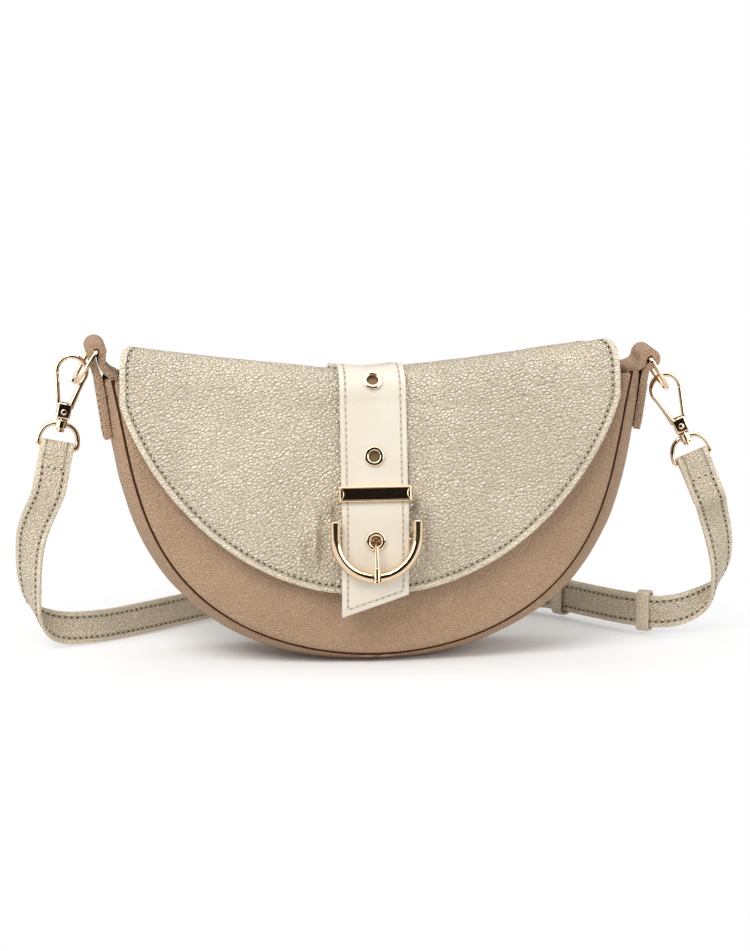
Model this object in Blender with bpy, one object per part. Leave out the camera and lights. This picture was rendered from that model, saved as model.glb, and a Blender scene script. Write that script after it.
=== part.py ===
# Half moon shoulder bag with a belt buckle flap and a clip-on strap.
# Metres, +Z up, front of the bag towards -Y, origin at the middle of the flat base.
import math

import bmesh
import bpy
from mathutils import Matrix, Vector

# Driving dimensions of the body
SEAM_HALF_WIDTH = 0.114
SEAM_FLARE = 0.010
SEAM_TOP = 0.1365
SEAM_BOTTOM = 0.004
BASE_HALF_DEPTH = 0.030
TOP_HALF_DEPTH = 0.0225
PANEL_CROWN = 0.006
PANEL_TOP_SAG = 0.008
GUSSET_BULGE = 0.007
GUSSET_TOP_DRAW = 0.0034
GUSSET_RIGHT_SWELL = 0.0033
LEATHER = 0.0016
LINING_INSET = 0.0026
LINING_THICKNESS = 0.0005
GAP = 0.0003

# Driving dimensions of the flap
FLAP_INSET = 0.003
FLAP_BOTTOM = 0.0343
FLAP_WIDEST = SEAM_TOP + 0.0015
FLAP_SHIFT = 0.002
FLAP_THICKNESS = 0.002
FLAP_CLEARANCE = 0.004
FLAP_RIDGE_CLEARANCE = 0.0103
FLAP_RIDGE = SEAM_TOP - PANEL_TOP_SAG + FLAP_RIDGE_CLEARANCE
FLAP_ROLL_DROP = 0.0128
FLAP_ROLL_START = FLAP_RIDGE - FLAP_ROLL_DROP
FLAP_RIDGE_RISE = 0.0145
FLAP_TOP_FRONT = 0.017
FLAP_TOP_BACK = 0.006
FLAP_TOP_FALL = 0.0042
FLAP_CORNER_DRAW = 0.005
FLAP_BACK_DRAW = 0.009
HINGE_DROP = 0.0188
HINGE_HEIGHT = FLAP_RIDGE - HINGE_DROP
HINGE_SPARE = 0.0007
ANCHOR_LENGTH = 0.016

# Belt, eyelets, keeper bar and buckle on the flap
BELT_WIDTH = 0.0316
BELT_THICKNESS = 0.0016
BELT_STAND_OFF = 0.0005
BELT_BUCKLE_STAND_OFF = 0.0035
BELT_LONG_EDGE = 0.025
BELT_SHORT_EDGE = 0.0356
EYELET_RADIUS = 0.0048
EYELET_HOLE = 0.00265
EYELET_WALL = 0.00035
EYELET_FLANGE = 0.0009
EYELET_BUCKLE_HEIGHT = 0.0614
EYELET_PITCH = 0.0392
EYELET_MIDDLE_HEIGHT = EYELET_BUCKLE_HEIGHT + EYELET_PITCH
EYELET_TOP_PLACE_SHARE = 1.42
KEEPER_LENGTH = 0.0342
KEEPER_HEIGHT = 0.0074
KEEPER_THICKNESS = 0.0022
KEEPER_RISE = 0.0214
KEEPER_CENTRE = EYELET_BUCKLE_HEIGHT + KEEPER_RISE
BELT_SLOPE_HALF = 0.010
BELT_RISE_START = KEEPER_CENTRE + BELT_SLOPE_HALF
BELT_RISE_END = KEEPER_CENTRE - BELT_SLOPE_HALF
BUCKLE_RADIUS = 0.0195
BUCKLE_TUBE = 0.00235
BUCKLE_RISE = 0.0026
BUCKLE_CENTRE = EYELET_BUCKLE_HEIGHT + BUCKLE_RISE
BUCKLE_LEG = 0.008
BUCKLE_END = BUCKLE_CENTRE + BUCKLE_LEG
BUCKLE_NOTCH = 0.0014
BUCKLE_LUG = 0.0020
PIN_RADIUS = 0.0008
PIN_HOLE = 0.00115
LUG_WALL = 0.00065
PRONG_SHAFT = 0.00085
PRONG_COLLAR = 0.0012
PRONG_EYE = 0.0019
PRONG_EYE_HOLE = 0.00115
PRONG_EYE_WIDTH = 0.0020

# Magnet snap between flap and front panel
MAGNET_DROP = 0.0134
MAGNET_HEIGHT = EYELET_BUCKLE_HEIGHT - MAGNET_DROP
MAGNET_RADIUS = 0.007
MAGNET_CUP = 0.0017
MAGNET_DISC = 0.0010
MAGNET_RECESS = 0.0034
MAGNET_RECESS_DEPTH = 0.0012
MAGNET_PLUG = 0.0020
MAGNET_PLUG_REACH = 0.0009

# Side tabs and their rings, one pair at each end
TAB_WIDTH = 0.024
TAB_THICKNESS = 0.0034
TAB_END = 0.107
TAB_INNER_END = 0.122
TAB_LOOP_BORE = 0.0015
TAB_LOOP_OUT = {"left": 0.0029, "right": 0.0033}
TAB_LOOP_RISE = {"left": 0.0127, "right": 0.0046}
TAB_LEAN_DEGREES = {"left": 0.0, "right": 20.0}
RING_WIRE = 0.00105
RING_HALF_WIDTH = 0.0142
RING_CORNER = 0.0018
RING_LENGTH = 0.019
RING_STRAIGHT = 0.006
RING_LEAN_DEGREES = {"left": 32.0, "right": 32.0}

# Snap hooks: the eye's top bar is the point from which the hook hangs, above the ring's bow
HOOK_TOP_RISE = {"left": 0.0122, "right": 0.0062}
HOOK_TOP_IN = {"left": 0.0003, "right": 0.0028}
HOOK_LEAN_DEGREES = {"left": 11.5, "right": 22.5}
HOOK_WIRE = 0.0011
HOOK_EYE_RADIUS = 0.007
HOOK_EYE_CENTRE = 0.0197
HOOK_EYE_TAPER_DEGREES = 14.0
HOOK_GATE_TOP = 0.0175
HOOK_BLOCK_HALF = 0.0034
HOOK_BLOCK_TOP = 0.0042
HOOK_BLOCK_DEPTH = 0.0048
HOOK_SLOT = 0.0026
GATE_WIRE = 0.0010
GATE_FOOT = 0.0018
RIVET_RADIUS = 0.00065
RIVET_HOLE = 0.00095
RIVET_HEAD = 0.0014
RIVET_HEAD_HEIGHT = 0.0004
STEM_RADIUS = 0.00125
STEM_END = 0.0098
STEM_FOOT = 0.0020
STEM_FOOT_HEIGHT = 0.0012
BOSS_RADIUS = 0.0027
BOSS_BORE = 0.0016
BOSS_TOP = 0.0039
BOSS_HEIGHT = 0.0040
DEE_WIRE = 0.0011
DEE_HALF_WIDTH = 0.0094
DEE_HEIGHT = 0.0114
DEE_CORNER = 0.0016

# Shoulder strap
STRAP_WIDTH = 0.0158
STRAP_THICKNESS = 0.0016
STRAP_FOLD_LENGTH = 0.022
STRAP_LOOP_DEPTH = 0.120
STRAP_BUCKLE_LIFT = 0.0037
STRAP_LAYER_GAP = 0.0004
STRAP_HOLE_WIDTH = 0.0030
STRAP_HOLE_LENGTH = 0.0078
STRAP_HOLE_PITCH = 0.018
KEEPER_LOOP_WALL = 0.0012
KEEPER_LOOP_WIDTH = 0.0065
KEEPER_LOOP_PLAY = 0.0009
STRAP_BUCKLE_WIRE = 0.0011
STRAP_BUCKLE_REACH = 0.015
STRAP_BUCKLE_CORNER = 0.0022
STRAP_PRONG_WIRE = 0.0008

# Counts of the faceted solids
HALF_ROWS = 18
PANEL_COLUMNS = 12
LINING_COLUMNS = 6
GUSSET_COLUMNS = 8
FLAP_COLUMNS = 14
WIRE_SIDES = 8

SIDES = ("left", "right")


def sign_of(side):
    return -1.0 if side == "left" else 1.0


def clear_scene():
    for item in list(bpy.data.objects):
        bpy.data.objects.remove(item, do_unlink=True)


def material(name, colour, roughness, metallic):
    made = bpy.data.materials.new(name)
    made.use_nodes = True
    shader = made.node_tree.nodes["Principled BSDF"]
    shader.inputs["Base Color"].default_value = (*colour, 1.0)
    shader.inputs["Roughness"].default_value = roughness
    shader.inputs["Metallic"].default_value = metallic
    made.diffuse_color = (*colour, 1.0)
    return made


clear_scene()
TAN_LEATHER = material("tan_leather", (0.48, 0.32, 0.20), 0.6, 0.0)
GOLD_LEATHER = material("champagne_leather", (0.62, 0.56, 0.42), 0.42, 0.45)
CREAM_LEATHER = material("cream_leather", (0.87, 0.79, 0.64), 0.5, 0.0)
LINING_CLOTH = material("lining_cloth", (0.20, 0.15, 0.11), 0.85, 0.0)
GOLD_METAL = material("pale_gold", (0.90, 0.68, 0.48), 0.15, 1.0)
STEEL = material("magnet_steel", (0.75, 0.68, 0.55), 0.3, 1.0)


def add_object(name, mesh, finish, origin=Vector((0.0, 0.0, 0.0)), smooth=True):
    """Link a mesh made in world places, with its origin moved to the given point."""
    mesh.transform(Matrix.Translation(-origin))
    mesh.materials.append(finish)
    if smooth:
        mesh.shade_smooth()
        mesh.set_sharp_from_angle(angle=math.radians(35.0))
    made = bpy.data.objects.new(name, mesh)
    made.location = origin
    bpy.context.collection.objects.link(made)
    return made


def mesh_from(bm, name):
    mesh = bpy.data.meshes.new(name)
    bmesh.ops.recalc_face_normals(bm, faces=bm.faces)
    bm.to_mesh(mesh)
    bm.free()
    return mesh


def sheet(name, rows, thickness, finish, side=-1.0, origin=Vector((0.0, 0.0, 0.0))):
    """A sheet of leather or cloth through rows of points, given its thickness by Solidify."""
    bm = bmesh.new()
    grid = [[bm.verts.new(point) for point in row] for row in rows]
    for low, high in zip(grid, grid[1:]):
        for a, b, c, d in zip(low, low[1:], high[1:], high):
            bm.faces.new((a, b, c, d))
    mesh = bpy.data.meshes.new(name)
    bm.to_mesh(mesh)
    bm.free()
    made = add_object(name, mesh, finish, origin)
    solid = made.modifiers.new("thickness", "SOLIDIFY")
    solid.thickness = thickness
    solid.offset = side
    return made


def cut(target, cutter, operation="DIFFERENCE"):
    """A Boolean on the target; the other shape stays in the file as a wire guide."""
    change = target.modifiers.new(operation.lower(), "BOOLEAN")
    change.operation = operation
    change.solver = "EXACT"
    change.object = cutter
    cutter.hide_render = True
    cutter.display_type = "WIRE"


def frame_matrix(origin, across, up):
    """Local x along across, local z along up, placed at origin."""
    z = up.normalized()
    x = (across - z * across.dot(z)).normalized()
    y = z.cross(x)
    return Matrix.Translation(origin) @ Matrix((x, y, z)).transposed().to_4x4()


def turned(name, profile, finish, place, steps=16, origin=None):
    """A closed profile of (radius, height) spun about local z. A radius of zero closes the axis."""
    bm = bmesh.new()
    points = [bm.verts.new((radius, 0.0, height)) for radius, height in profile]
    closed = min(radius for radius, height in profile) > 0.0
    edges = [bm.edges.new(pair) for pair in zip(points, points[1:])]
    if closed:
        edges.append(bm.edges.new((points[-1], points[0])))
    bmesh.ops.spin(
        bm, geom=points + edges, cent=(0.0, 0.0, 0.0), axis=(0.0, 0.0, 1.0),
        angle=2.0 * math.pi, steps=steps, use_merge=True,
    )
    bmesh.ops.remove_doubles(bm, verts=bm.verts, dist=GAP * 0.01)
    mesh = mesh_from(bm, name)
    mesh.transform(place)
    return add_object(name, mesh, finish, place.translation if origin is None else origin)


def block(name, low, high, finish, place, origin=None):
    bm = bmesh.new()
    bmesh.ops.create_cube(bm, size=1.0)
    size = [b - a for a, b in zip(low, high)]
    middle = [(a + b) / 2.0 for a, b in zip(low, high)]
    bmesh.ops.scale(bm, vec=size, verts=bm.verts)
    bmesh.ops.translate(bm, vec=middle, verts=bm.verts)
    mesh = mesh_from(bm, name)
    mesh.transform(place)
    return add_object(name, mesh, finish, place.translation if origin is None else origin, smooth=False)


def wire(name, points, radii, finish, origin, sides=WIRE_SIDES, cyclic=False):
    """A round wire swept through points, with capped ends or closed on itself."""
    if not isinstance(radii, list):
        radii = [radii] * len(points)
    count = len(points)
    bm = bmesh.new()
    rings = []
    normal = None
    for i, (point, radius) in enumerate(zip(points, radii)):
        before = points[(i - 1) % count] if cyclic or i > 0 else point
        after = points[(i + 1) % count] if cyclic or i < count - 1 else point
        along = (after - before).normalized()
        if normal is None:
            normal = along.orthogonal().normalized()
        normal = (normal - along * normal.dot(along)).normalized()
        other = along.cross(normal)
        ring = []
        for k in range(sides):
            angle = 2.0 * math.pi * (k + 0.5) / sides
            ring.append(bm.verts.new(point + (normal * math.cos(angle) + other * math.sin(angle)) * radius))
        rings.append(ring)
    pairs = list(zip(rings, rings[1:]))
    if cyclic:
        pairs.append((rings[-1], rings[0]))
    for low, high in pairs:
        shift = 0
        if cyclic and high is rings[0]:
            shift = min(range(sides), key=lambda s: (low[0].co - high[s].co).length)
        for k in range(sides):
            a, b = low[k], low[(k + 1) % sides]
            c, d = high[(k + 1 + shift) % sides], high[(k + shift) % sides]
            bm.faces.new((a, b, c, d))
    if not cyclic:
        bm.faces.new(list(reversed(rings[0])))
        bm.faces.new(rings[-1])
    return add_object(name, mesh_from(bm, name), finish, origin)


def smooth_through(points, steps):
    """Catmull-Rom curve through the points, with the given steps between each pair."""
    made = []
    for i in range(len(points) - 1):
        p1, p2 = points[i], points[i + 1]
        p0 = points[i - 1] if i > 0 else p1 * 2.0 - p2
        p3 = points[i + 2] if i + 2 < len(points) else p2 * 2.0 - p1
        for k in range(steps):
            t = k / steps
            made.append(
                p1 + (p2 - p0) * (0.5 * t)
                + (p0 * 2.0 - p1 * 5.0 + p2 * 4.0 - p3) * (0.5 * t * t)
                + (p1 * 3.0 - p0 - p2 * 3.0 + p3) * (0.5 * t * t * t)
            )
    made.append(points[-1].copy())
    return made


# The half moon seam and the body's depth

def seam_half_width(height):
    drop = min(max((SEAM_TOP - height) / (SEAM_TOP - SEAM_BOTTOM), 0.0), 1.0)
    return SEAM_HALF_WIDTH * math.sqrt(1.0 - drop**3.1) + SEAM_FLARE * (1.0 - drop) ** 3


def half_depth(height):
    share = min(max(height / SEAM_TOP, 0.0), 1.0)
    return BASE_HALF_DEPTH + (TOP_HALF_DEPTH - BASE_HALF_DEPTH) * share


def front_reach(across, height):
    """How far the front panel's outer face stands from the middle plane."""
    share = min(max((height - SEAM_BOTTOM) / (SEAM_TOP - SEAM_BOTTOM), 0.0), 1.0)
    spread = min(abs(across) / max(seam_half_width(height), LEATHER), 1.0)
    return half_depth(height) + PANEL_CROWN * (1.0 - spread**2) * math.sin(math.pi * share)


def gusset_bulge(height, spread, sign):
    """How far the gusset stands out from the seam; spread is 0 at its middle, 1 at the seams."""
    rise = min(max((height - SEAM_BOTTOM) / (SEAM_TOP - SEAM_BOTTOM), 0.0), 1.0)
    swell = GUSSET_RIGHT_SWELL * max(sign, 0.0) * (1.0 - (1.0 - rise) ** 4)
    return (GUSSET_BULGE - GUSSET_TOP_DRAW * rise**2.2 + swell) * (1.0 - abs(spread) ** 3)


def seam_point(share):
    """The seam from the bottom middle, share 0, to the top corner, share 1."""
    angle = 0.5 * math.pi * share
    drop = math.cos(angle) ** (2.0 / 3.1)
    across = SEAM_HALF_WIDTH * math.sin(angle) + SEAM_FLARE * (1.0 - drop) ** 3
    return across, SEAM_TOP - (SEAM_TOP - SEAM_BOTTOM) * drop


def seam_rows():
    """Half seam stations, evenly spaced along it: (across, height, normal across, normal up)."""
    steps = 600
    dense = [seam_point(i / steps) for i in range(steps + 1)]
    length = [0.0]
    for (x0, z0), (x1, z1) in zip(dense, dense[1:]):
        length.append(length[-1] + math.hypot(x1 - x0, z1 - z0))
    made = []
    for k in range(HALF_ROWS):
        wanted = length[-1] * (2 * k + 1) / (2 * HALF_ROWS - 1)
        i = max(j for j, value in enumerate(length) if value <= wanted + GAP * 0.001)
        i = min(i, steps - 1)
        part = (wanted - length[i]) / (length[i + 1] - length[i])
        (x0, z0), (x1, z1) = dense[i], dense[i + 1]
        run = math.hypot(x1 - x0, z1 - z0)
        across = x0 + (x1 - x0) * part
        height = z0 + (z1 - z0) * part
        made.append((across, height, (z1 - z0) / run, -(x1 - x0) / run))
    return made


SEAM_ROWS = seam_rows()


def panel(name, facing, inset, thickness, finish, columns, rows):
    """One face of the bag: the half moon, crowned outwards, its top edge sagging in the middle."""
    made = []
    for across, height, normal_across, normal_up in rows:
        half = across - inset * normal_across
        level = height - inset * normal_up
        rise = (height - SEAM_BOTTOM) / (SEAM_TOP - SEAM_BOTTOM)
        row = []
        for j in range(columns + 1):
            share = 2.0 * j / columns - 1.0
            z = level - PANEL_TOP_SAG * (1.0 - share**2) * rise**6
            y = front_reach(share * across, z) - inset
            row.append(Vector((share * half, facing * y, z)))
        if facing > 0.0:
            row.reverse()
        made.append(row)
    return sheet(name, made, thickness, finish)


def gusset_point(row, side, share, inset, reach):
    """A point of the gusset: share runs from -1 at the front seam to 1 at the back seam."""
    across, height, normal_across, normal_up = row
    out = gusset_bulge(height, share, side) - inset
    x = across + normal_across * out
    z = max(height + normal_up * out, inset)
    return Vector((side * x, share * (half_depth(height) - reach), z))


def gusset(name, inset, reach, thickness, finish, columns, rows):
    """The strip between the two panels, rounded outwards and flat where the bag stands."""
    stations = [(row, -1.0) for row in reversed(rows)] + [(row, 1.0) for row in rows]
    made = []
    for row, side in stations:
        shares = [2.0 * j / columns - 1.0 for j in range(columns + 1)]
        made.append([gusset_point(row, side, share, inset, reach) for share in shares])
    return sheet(name, made, thickness, finish)


def make_body():
    panel("front_panel", -1.0, 0.0, LEATHER, TAN_LEATHER, PANEL_COLUMNS, SEAM_ROWS)
    panel("back_panel", 1.0, 0.0, LEATHER, TAN_LEATHER, PANEL_COLUMNS, SEAM_ROWS)
    gusset("gusset", 0.0, LEATHER + GAP, LEATHER, TAN_LEATHER, GUSSET_COLUMNS, SEAM_ROWS)
    inner = SEAM_ROWS[:-1]
    thin = LINING_THICKNESS
    panel("lining_front", -1.0, LINING_INSET, thin, LINING_CLOTH, LINING_COLUMNS, inner)
    panel("lining_back", 1.0, LINING_INSET, thin, LINING_CLOTH, LINING_COLUMNS, inner)
    reach = LINING_INSET + thin + GAP
    gusset("lining_gusset", LINING_INSET, reach, thin, LINING_CLOTH, LINING_COLUMNS, inner)


# The flap, a sheet from the hinge line at the back over the top and down the front

def flap_widest_half():
    return seam_half_width(SEAM_TOP) - FLAP_INSET


def flap_half_width(height):
    drop = min(max((FLAP_WIDEST - height) / (FLAP_WIDEST - FLAP_BOTTOM), 0.0), 1.0)
    return flap_widest_half() * (1.0 - drop**1.5) ** (1.0 / 2.1)


def flap_ridge(across):
    spread = min(abs(across + FLAP_SHIFT) / flap_widest_half(), 1.0)
    return FLAP_RIDGE + FLAP_RIDGE_RISE * spread**1.15


def hinge_back():
    """The y of the flap's outer face where it bends, just clear of the back panel."""
    return front_reach(0.0, HINGE_HEIGHT) + HINGE_SPARE + FLAP_THICKNESS


def flap_surface(across, place, lowest):
    """The flap's outer face. place 0 to 1 front, 1 to 2 front roll, 2 to 3 top, 3 to 4 back roll."""
    ridge = flap_ridge(across)
    roundness = 2.0 / 2.4
    out = FLAP_CLEARANCE + FLAP_THICKNESS
    if place <= 1.0:
        z = lowest + (FLAP_ROLL_START - lowest) * place
        return Vector((across, -front_reach(across, z) - out, z))
    if place <= 2.0:
        angle = 0.5 * math.pi * (place - 1.0)
        reach = front_reach(across, FLAP_ROLL_START) + out - FLAP_TOP_FRONT
        y = -FLAP_TOP_FRONT - reach * max(math.cos(angle), 0.0) ** roundness
        z = FLAP_ROLL_START + (ridge - FLAP_ROLL_START) * math.sin(angle) ** roundness
        return Vector((across, y, z))
    if place <= 3.0:
        y = -FLAP_TOP_FRONT + (FLAP_TOP_BACK + FLAP_TOP_FRONT) * (place - 2.0)
        return Vector((across, y, ridge - FLAP_TOP_FALL * (place - 2.0)))
    angle = 0.5 * math.pi * (place - 3.0)
    squareness = 2.0 / 3.2
    y = FLAP_TOP_BACK + (hinge_back() - FLAP_TOP_BACK) * math.sin(angle) ** squareness
    rise = ridge - FLAP_TOP_FALL - HINGE_HEIGHT
    z = HINGE_HEIGHT + rise * max(math.cos(angle), 0.0) ** squareness
    return Vector((across, y, z))


def flap_width_at(place, height):
    if place <= 1.0:
        return flap_half_width(height)
    widest = flap_half_width(FLAP_ROLL_START)
    if place <= 2.0:
        return widest - FLAP_CORNER_DRAW * (place - 1.0) ** 3
    return widest - FLAP_CORNER_DRAW - FLAP_BACK_DRAW * (place - 2.0) / 2.0


def flap_places():
    """Row places: close together along the lower edge and round the rolls."""
    front = [math.sin(0.5 * math.pi * k / 14) ** 2 * 0.6 + 0.4 * (k / 14) ** 2 for k in range(15)]
    roll = [1.0 + k / 5 for k in range(1, 6)]
    top = [2.5, 3.0]
    back = [3.0 + k / 5 for k in range(1, 6)]
    return front[1:] + roll + top + back


def make_flap():
    lowest = FLAP_BOTTOM
    rows = []
    for place in flap_places():
        height = lowest + (FLAP_ROLL_START - lowest) * min(place, 1.0)
        half = flap_width_at(place, height)
        row = []
        for j in range(FLAP_COLUMNS + 1):
            share = 2.0 * j / FLAP_COLUMNS - 1.0
            row.append(flap_surface(share * half - FLAP_SHIFT, place, lowest))
        rows.append(row)
    hinge = Vector((-FLAP_SHIFT, hinge_back(), HINGE_HEIGHT - GAP))
    sheet("flap", rows, FLAP_THICKNESS, GOLD_LEATHER, origin=hinge)
    return hinge


def make_flap_anchor():
    """The flap's sewn end: a strip flat on the back panel, below the line where the flap bends."""
    half = flap_width_at(4.0, FLAP_ROLL_START)
    rows = []
    for k in range(4):
        z = HINGE_HEIGHT - GAP * 2.0 - ANCHOR_LENGTH * k / 3.0
        row = []
        for j in range(FLAP_COLUMNS + 1):
            across = (2.0 * j / FLAP_COLUMNS - 1.0) * half - FLAP_SHIFT
            y = front_reach(across, z) + HINGE_SPARE + FLAP_THICKNESS
            row.append(Vector((across, max(y, hinge_back()), z)))
        rows.append(row)
    sheet("flap_anchor", rows, FLAP_THICKNESS, GOLD_LEATHER)


# The belt on the flap

def belt_stand_off(height):
    share = (BELT_RISE_START - height) / (BELT_RISE_START - BELT_RISE_END)
    share = min(max(share, 0.0), 1.0)
    share = share * share * (3.0 - 2.0 * share)
    return BELT_STAND_OFF + (BELT_BUCKLE_STAND_OFF - BELT_STAND_OFF) * share


def belt_end(across):
    share = (across + FLAP_SHIFT) / BELT_WIDTH + 0.5
    return BELT_LONG_EDGE + (BELT_SHORT_EDGE - BELT_LONG_EDGE) * share


def belt_normal(across, place, lowest):
    step = 0.002
    span = LEATHER
    along = flap_surface(across, min(place + step, 4.0), lowest)
    along = along - flap_surface(across, max(place - step, 0.0), lowest)
    side = flap_surface(across + span, place, lowest) - flap_surface(across - span, place, lowest)
    return side.cross(along).normalized()


def belt_point(across, place, lowest, out):
    """A point at the given distance outside the belt's inner face."""
    point = flap_surface(across, place, lowest)
    lift = belt_stand_off(point.z) + out
    return point + belt_normal(across, place, lowest) * lift


def place_of_height(height, lowest):
    return (height - lowest) / (FLAP_ROLL_START - lowest)


def belt_frame(place, lowest):
    """Local frame on the belt's inner face: x across the bag, z straight out of the belt."""
    across = -FLAP_SHIFT
    normal = belt_normal(across, place, lowest)
    return frame_matrix(belt_point(across, place, lowest, 0.0), Vector((1.0, 0.0, 0.0)), normal)


def eyelet_frames():
    lowest = belt_end(-FLAP_SHIFT)
    return {
        "eyelet_top": belt_frame(EYELET_TOP_PLACE_SHARE, lowest),
        "eyelet_middle": belt_frame(place_of_height(EYELET_MIDDLE_HEIGHT, lowest), lowest),
        "eyelet_buckle": belt_frame(place_of_height(EYELET_BUCKLE_HEIGHT, lowest), lowest),
    }


def make_belt(hinge):
    places = [k / 16 for k in range(17)] + [1.0 + k / 6 for k in range(1, 7)]
    places += [2.5, 3.0, 3.2, 3.4, 3.6, 3.8]
    rows = []
    for place in places:
        row = []
        for j in range(5):
            across = (j / 4.0 - 0.5) * BELT_WIDTH - FLAP_SHIFT
            row.append(belt_point(across, place, belt_end(across), 0.0))
        rows.append(row)
    belt = sheet("belt_strap", rows, BELT_THICKNESS, CREAM_LEATHER, side=1.0, origin=hinge)
    hole = EYELET_HOLE + EYELET_WALL + GAP
    for name, frame in eyelet_frames().items():
        depth = BELT_THICKNESS * 2.0
        profile = [(0.0, -depth), (hole, -depth), (hole, depth * 2.0), (0.0, depth * 2.0)]
        cut(belt, turned(name + "_hole_guide", profile, CREAM_LEATHER, frame))


def make_eyelets():
    """Pressed metal eyelets: a round flange on the belt's face and a barrel through its hole."""
    inner, outer, rim = EYELET_HOLE, EYELET_HOLE + EYELET_WALL, EYELET_RADIUS
    face = BELT_THICKNESS + GAP
    crest = face + EYELET_FLANGE
    profile = [
        (inner, 0.0), (outer, 0.0), (outer, face), (rim, face), (rim, face + EYELET_FLANGE * 0.5),
        ((inner + rim) / 2.0, crest), (inner, face + EYELET_FLANGE * 0.5),
    ]
    for name, frame in eyelet_frames().items():
        turned(name, profile, GOLD_METAL, frame)


def make_keeper_bar():
    """A metal bar across the belt, with a leg at each end that reaches down to the flap."""
    lowest = belt_end(-FLAP_SHIFT)
    ends = [KEEPER_CENTRE - KEEPER_HEIGHT / 2.0, KEEPER_CENTRE + KEEPER_HEIGHT / 2.0]
    low, high = [belt_point(-FLAP_SHIFT, place_of_height(z, lowest), lowest, 0.0) for z in ends]
    right = Vector((1.0, 0.0, 0.0))
    frame = frame_matrix((low + high) / 2.0, right, right.cross(high - low))
    stand = belt_stand_off(ends[1])
    face = BELT_THICKNESS + GAP
    half = KEEPER_HEIGHT / 2.0
    length = KEEPER_LENGTH / 2.0
    inner = BELT_WIDTH / 2.0 + GAP
    bm = bmesh.new()
    outline = [
        (-length, face + KEEPER_THICKNESS), (-length, GAP * 2.0 - stand), (-inner, GAP * 2.0 - stand),
        (-inner, face), (inner, face), (inner, GAP * 2.0 - stand), (length, GAP * 2.0 - stand),
        (length, face + KEEPER_THICKNESS),
    ]
    ring = bm.faces.new([bm.verts.new((x, -half, z)) for x, z in outline])
    grown = bmesh.ops.extrude_face_region(bm, geom=[ring])
    moved = [item for item in grown["geom"] if isinstance(item, bmesh.types.BMVert)]
    bmesh.ops.translate(bm, vec=(0.0, KEEPER_HEIGHT, 0.0), verts=moved)
    mesh = mesh_from(bm, "keeper_bar")
    mesh.transform(frame)
    add_object("keeper_bar", mesh, GOLD_METAL, frame.translation, smooth=False)


def buckle_pin_axis():
    """Middle of the pin, just behind the belt at the buckle's eyelet."""
    lowest = belt_end(-FLAP_SHIFT)
    back = belt_point(-FLAP_SHIFT, place_of_height(EYELET_BUCKLE_HEIGHT, lowest), lowest, 0.0)
    return back + Vector((0.0, GAP + PIN_RADIUS, 0.0))


def buckle_plane():
    """The y of the buckle tube's centre line, in front of the belt."""
    return buckle_pin_axis().y - PIN_RADIUS - GAP * 3.0 - BELT_THICKNESS - BUCKLE_TUBE


def make_buckle_frame():
    """Horseshoe of round bar, open at the top, with a lug on each leg for the pin."""
    pin = buckle_pin_axis()
    y = buckle_plane()
    points = [Vector((-BUCKLE_RADIUS, y, BUCKLE_END)), Vector((-BUCKLE_RADIUS, y, BUCKLE_CENTRE))]
    turns = 16
    for k in range(1, turns):
        angle = math.pi + math.pi * k / turns
        x = BUCKLE_RADIUS * math.cos(angle)
        points.append(Vector((x, y, BUCKLE_CENTRE + BUCKLE_RADIUS * math.sin(angle))))
    points += [Vector((BUCKLE_RADIUS, y, BUCKLE_CENTRE)), Vector((BUCKLE_RADIUS, y, BUCKLE_END))]
    points = [point + Vector((-FLAP_SHIFT, 0.0, 0.0)) for point in points]
    frame = wire("buckle_frame", points, BUCKLE_TUBE, GOLD_METAL, pin)
    tall = PIN_HOLE + LUG_WALL
    still = Matrix.Identity(4)
    inner = BELT_WIDTH / 2.0 + GAP * 4.0
    for side in SIDES:
        ends = (sign_of(side) * inner - FLAP_SHIFT, sign_of(side) * (inner + BUCKLE_LUG) - FLAP_SHIFT)
        edges = sorted(ends)
        low = (edges[0], y, pin.z - tall)
        high = (edges[1], pin.y + tall, pin.z + tall)
        lug = block("lug_guide_" + side, low, high, GOLD_METAL, still, pin)
        cut(frame, lug, "UNION")
    place = frame_matrix(pin, Vector((0.0, 1.0, 0.0)), Vector((1.0, 0.0, 0.0)))
    reach = BUCKLE_RADIUS * 2.0
    bore = [(0.0, -reach), (PIN_HOLE, -reach), (PIN_HOLE, reach), (0.0, reach)]
    cut(frame, turned("pin_bore_guide", bore, GOLD_METAL, place))
    collar, tip = prong_path()[-2:]
    notch = frame_matrix(tip, Vector((1.0, 0.0, 0.0)), collar - tip)
    room = PRONG_COLLAR + GAP * 1.5
    reach = BUCKLE_TUBE * 3.0
    slot = [(0.0, -reach), (room, -reach), (room, reach), (0.0, reach)]
    cut(frame, turned("notch_guide", slot, GOLD_METAL, notch))


def make_buckle_pin():
    pin = buckle_pin_axis()
    place = frame_matrix(pin, Vector((0.0, 1.0, 0.0)), Vector((1.0, 0.0, 0.0)))
    half = BELT_WIDTH / 2.0 + GAP * 4.0 + BUCKLE_LUG
    profile = [(0.0, -half), (PIN_RADIUS, -half), (PIN_RADIUS, half), (0.0, half)]
    turned("buckle_pin", profile, GOLD_METAL, place, steps=10)


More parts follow.
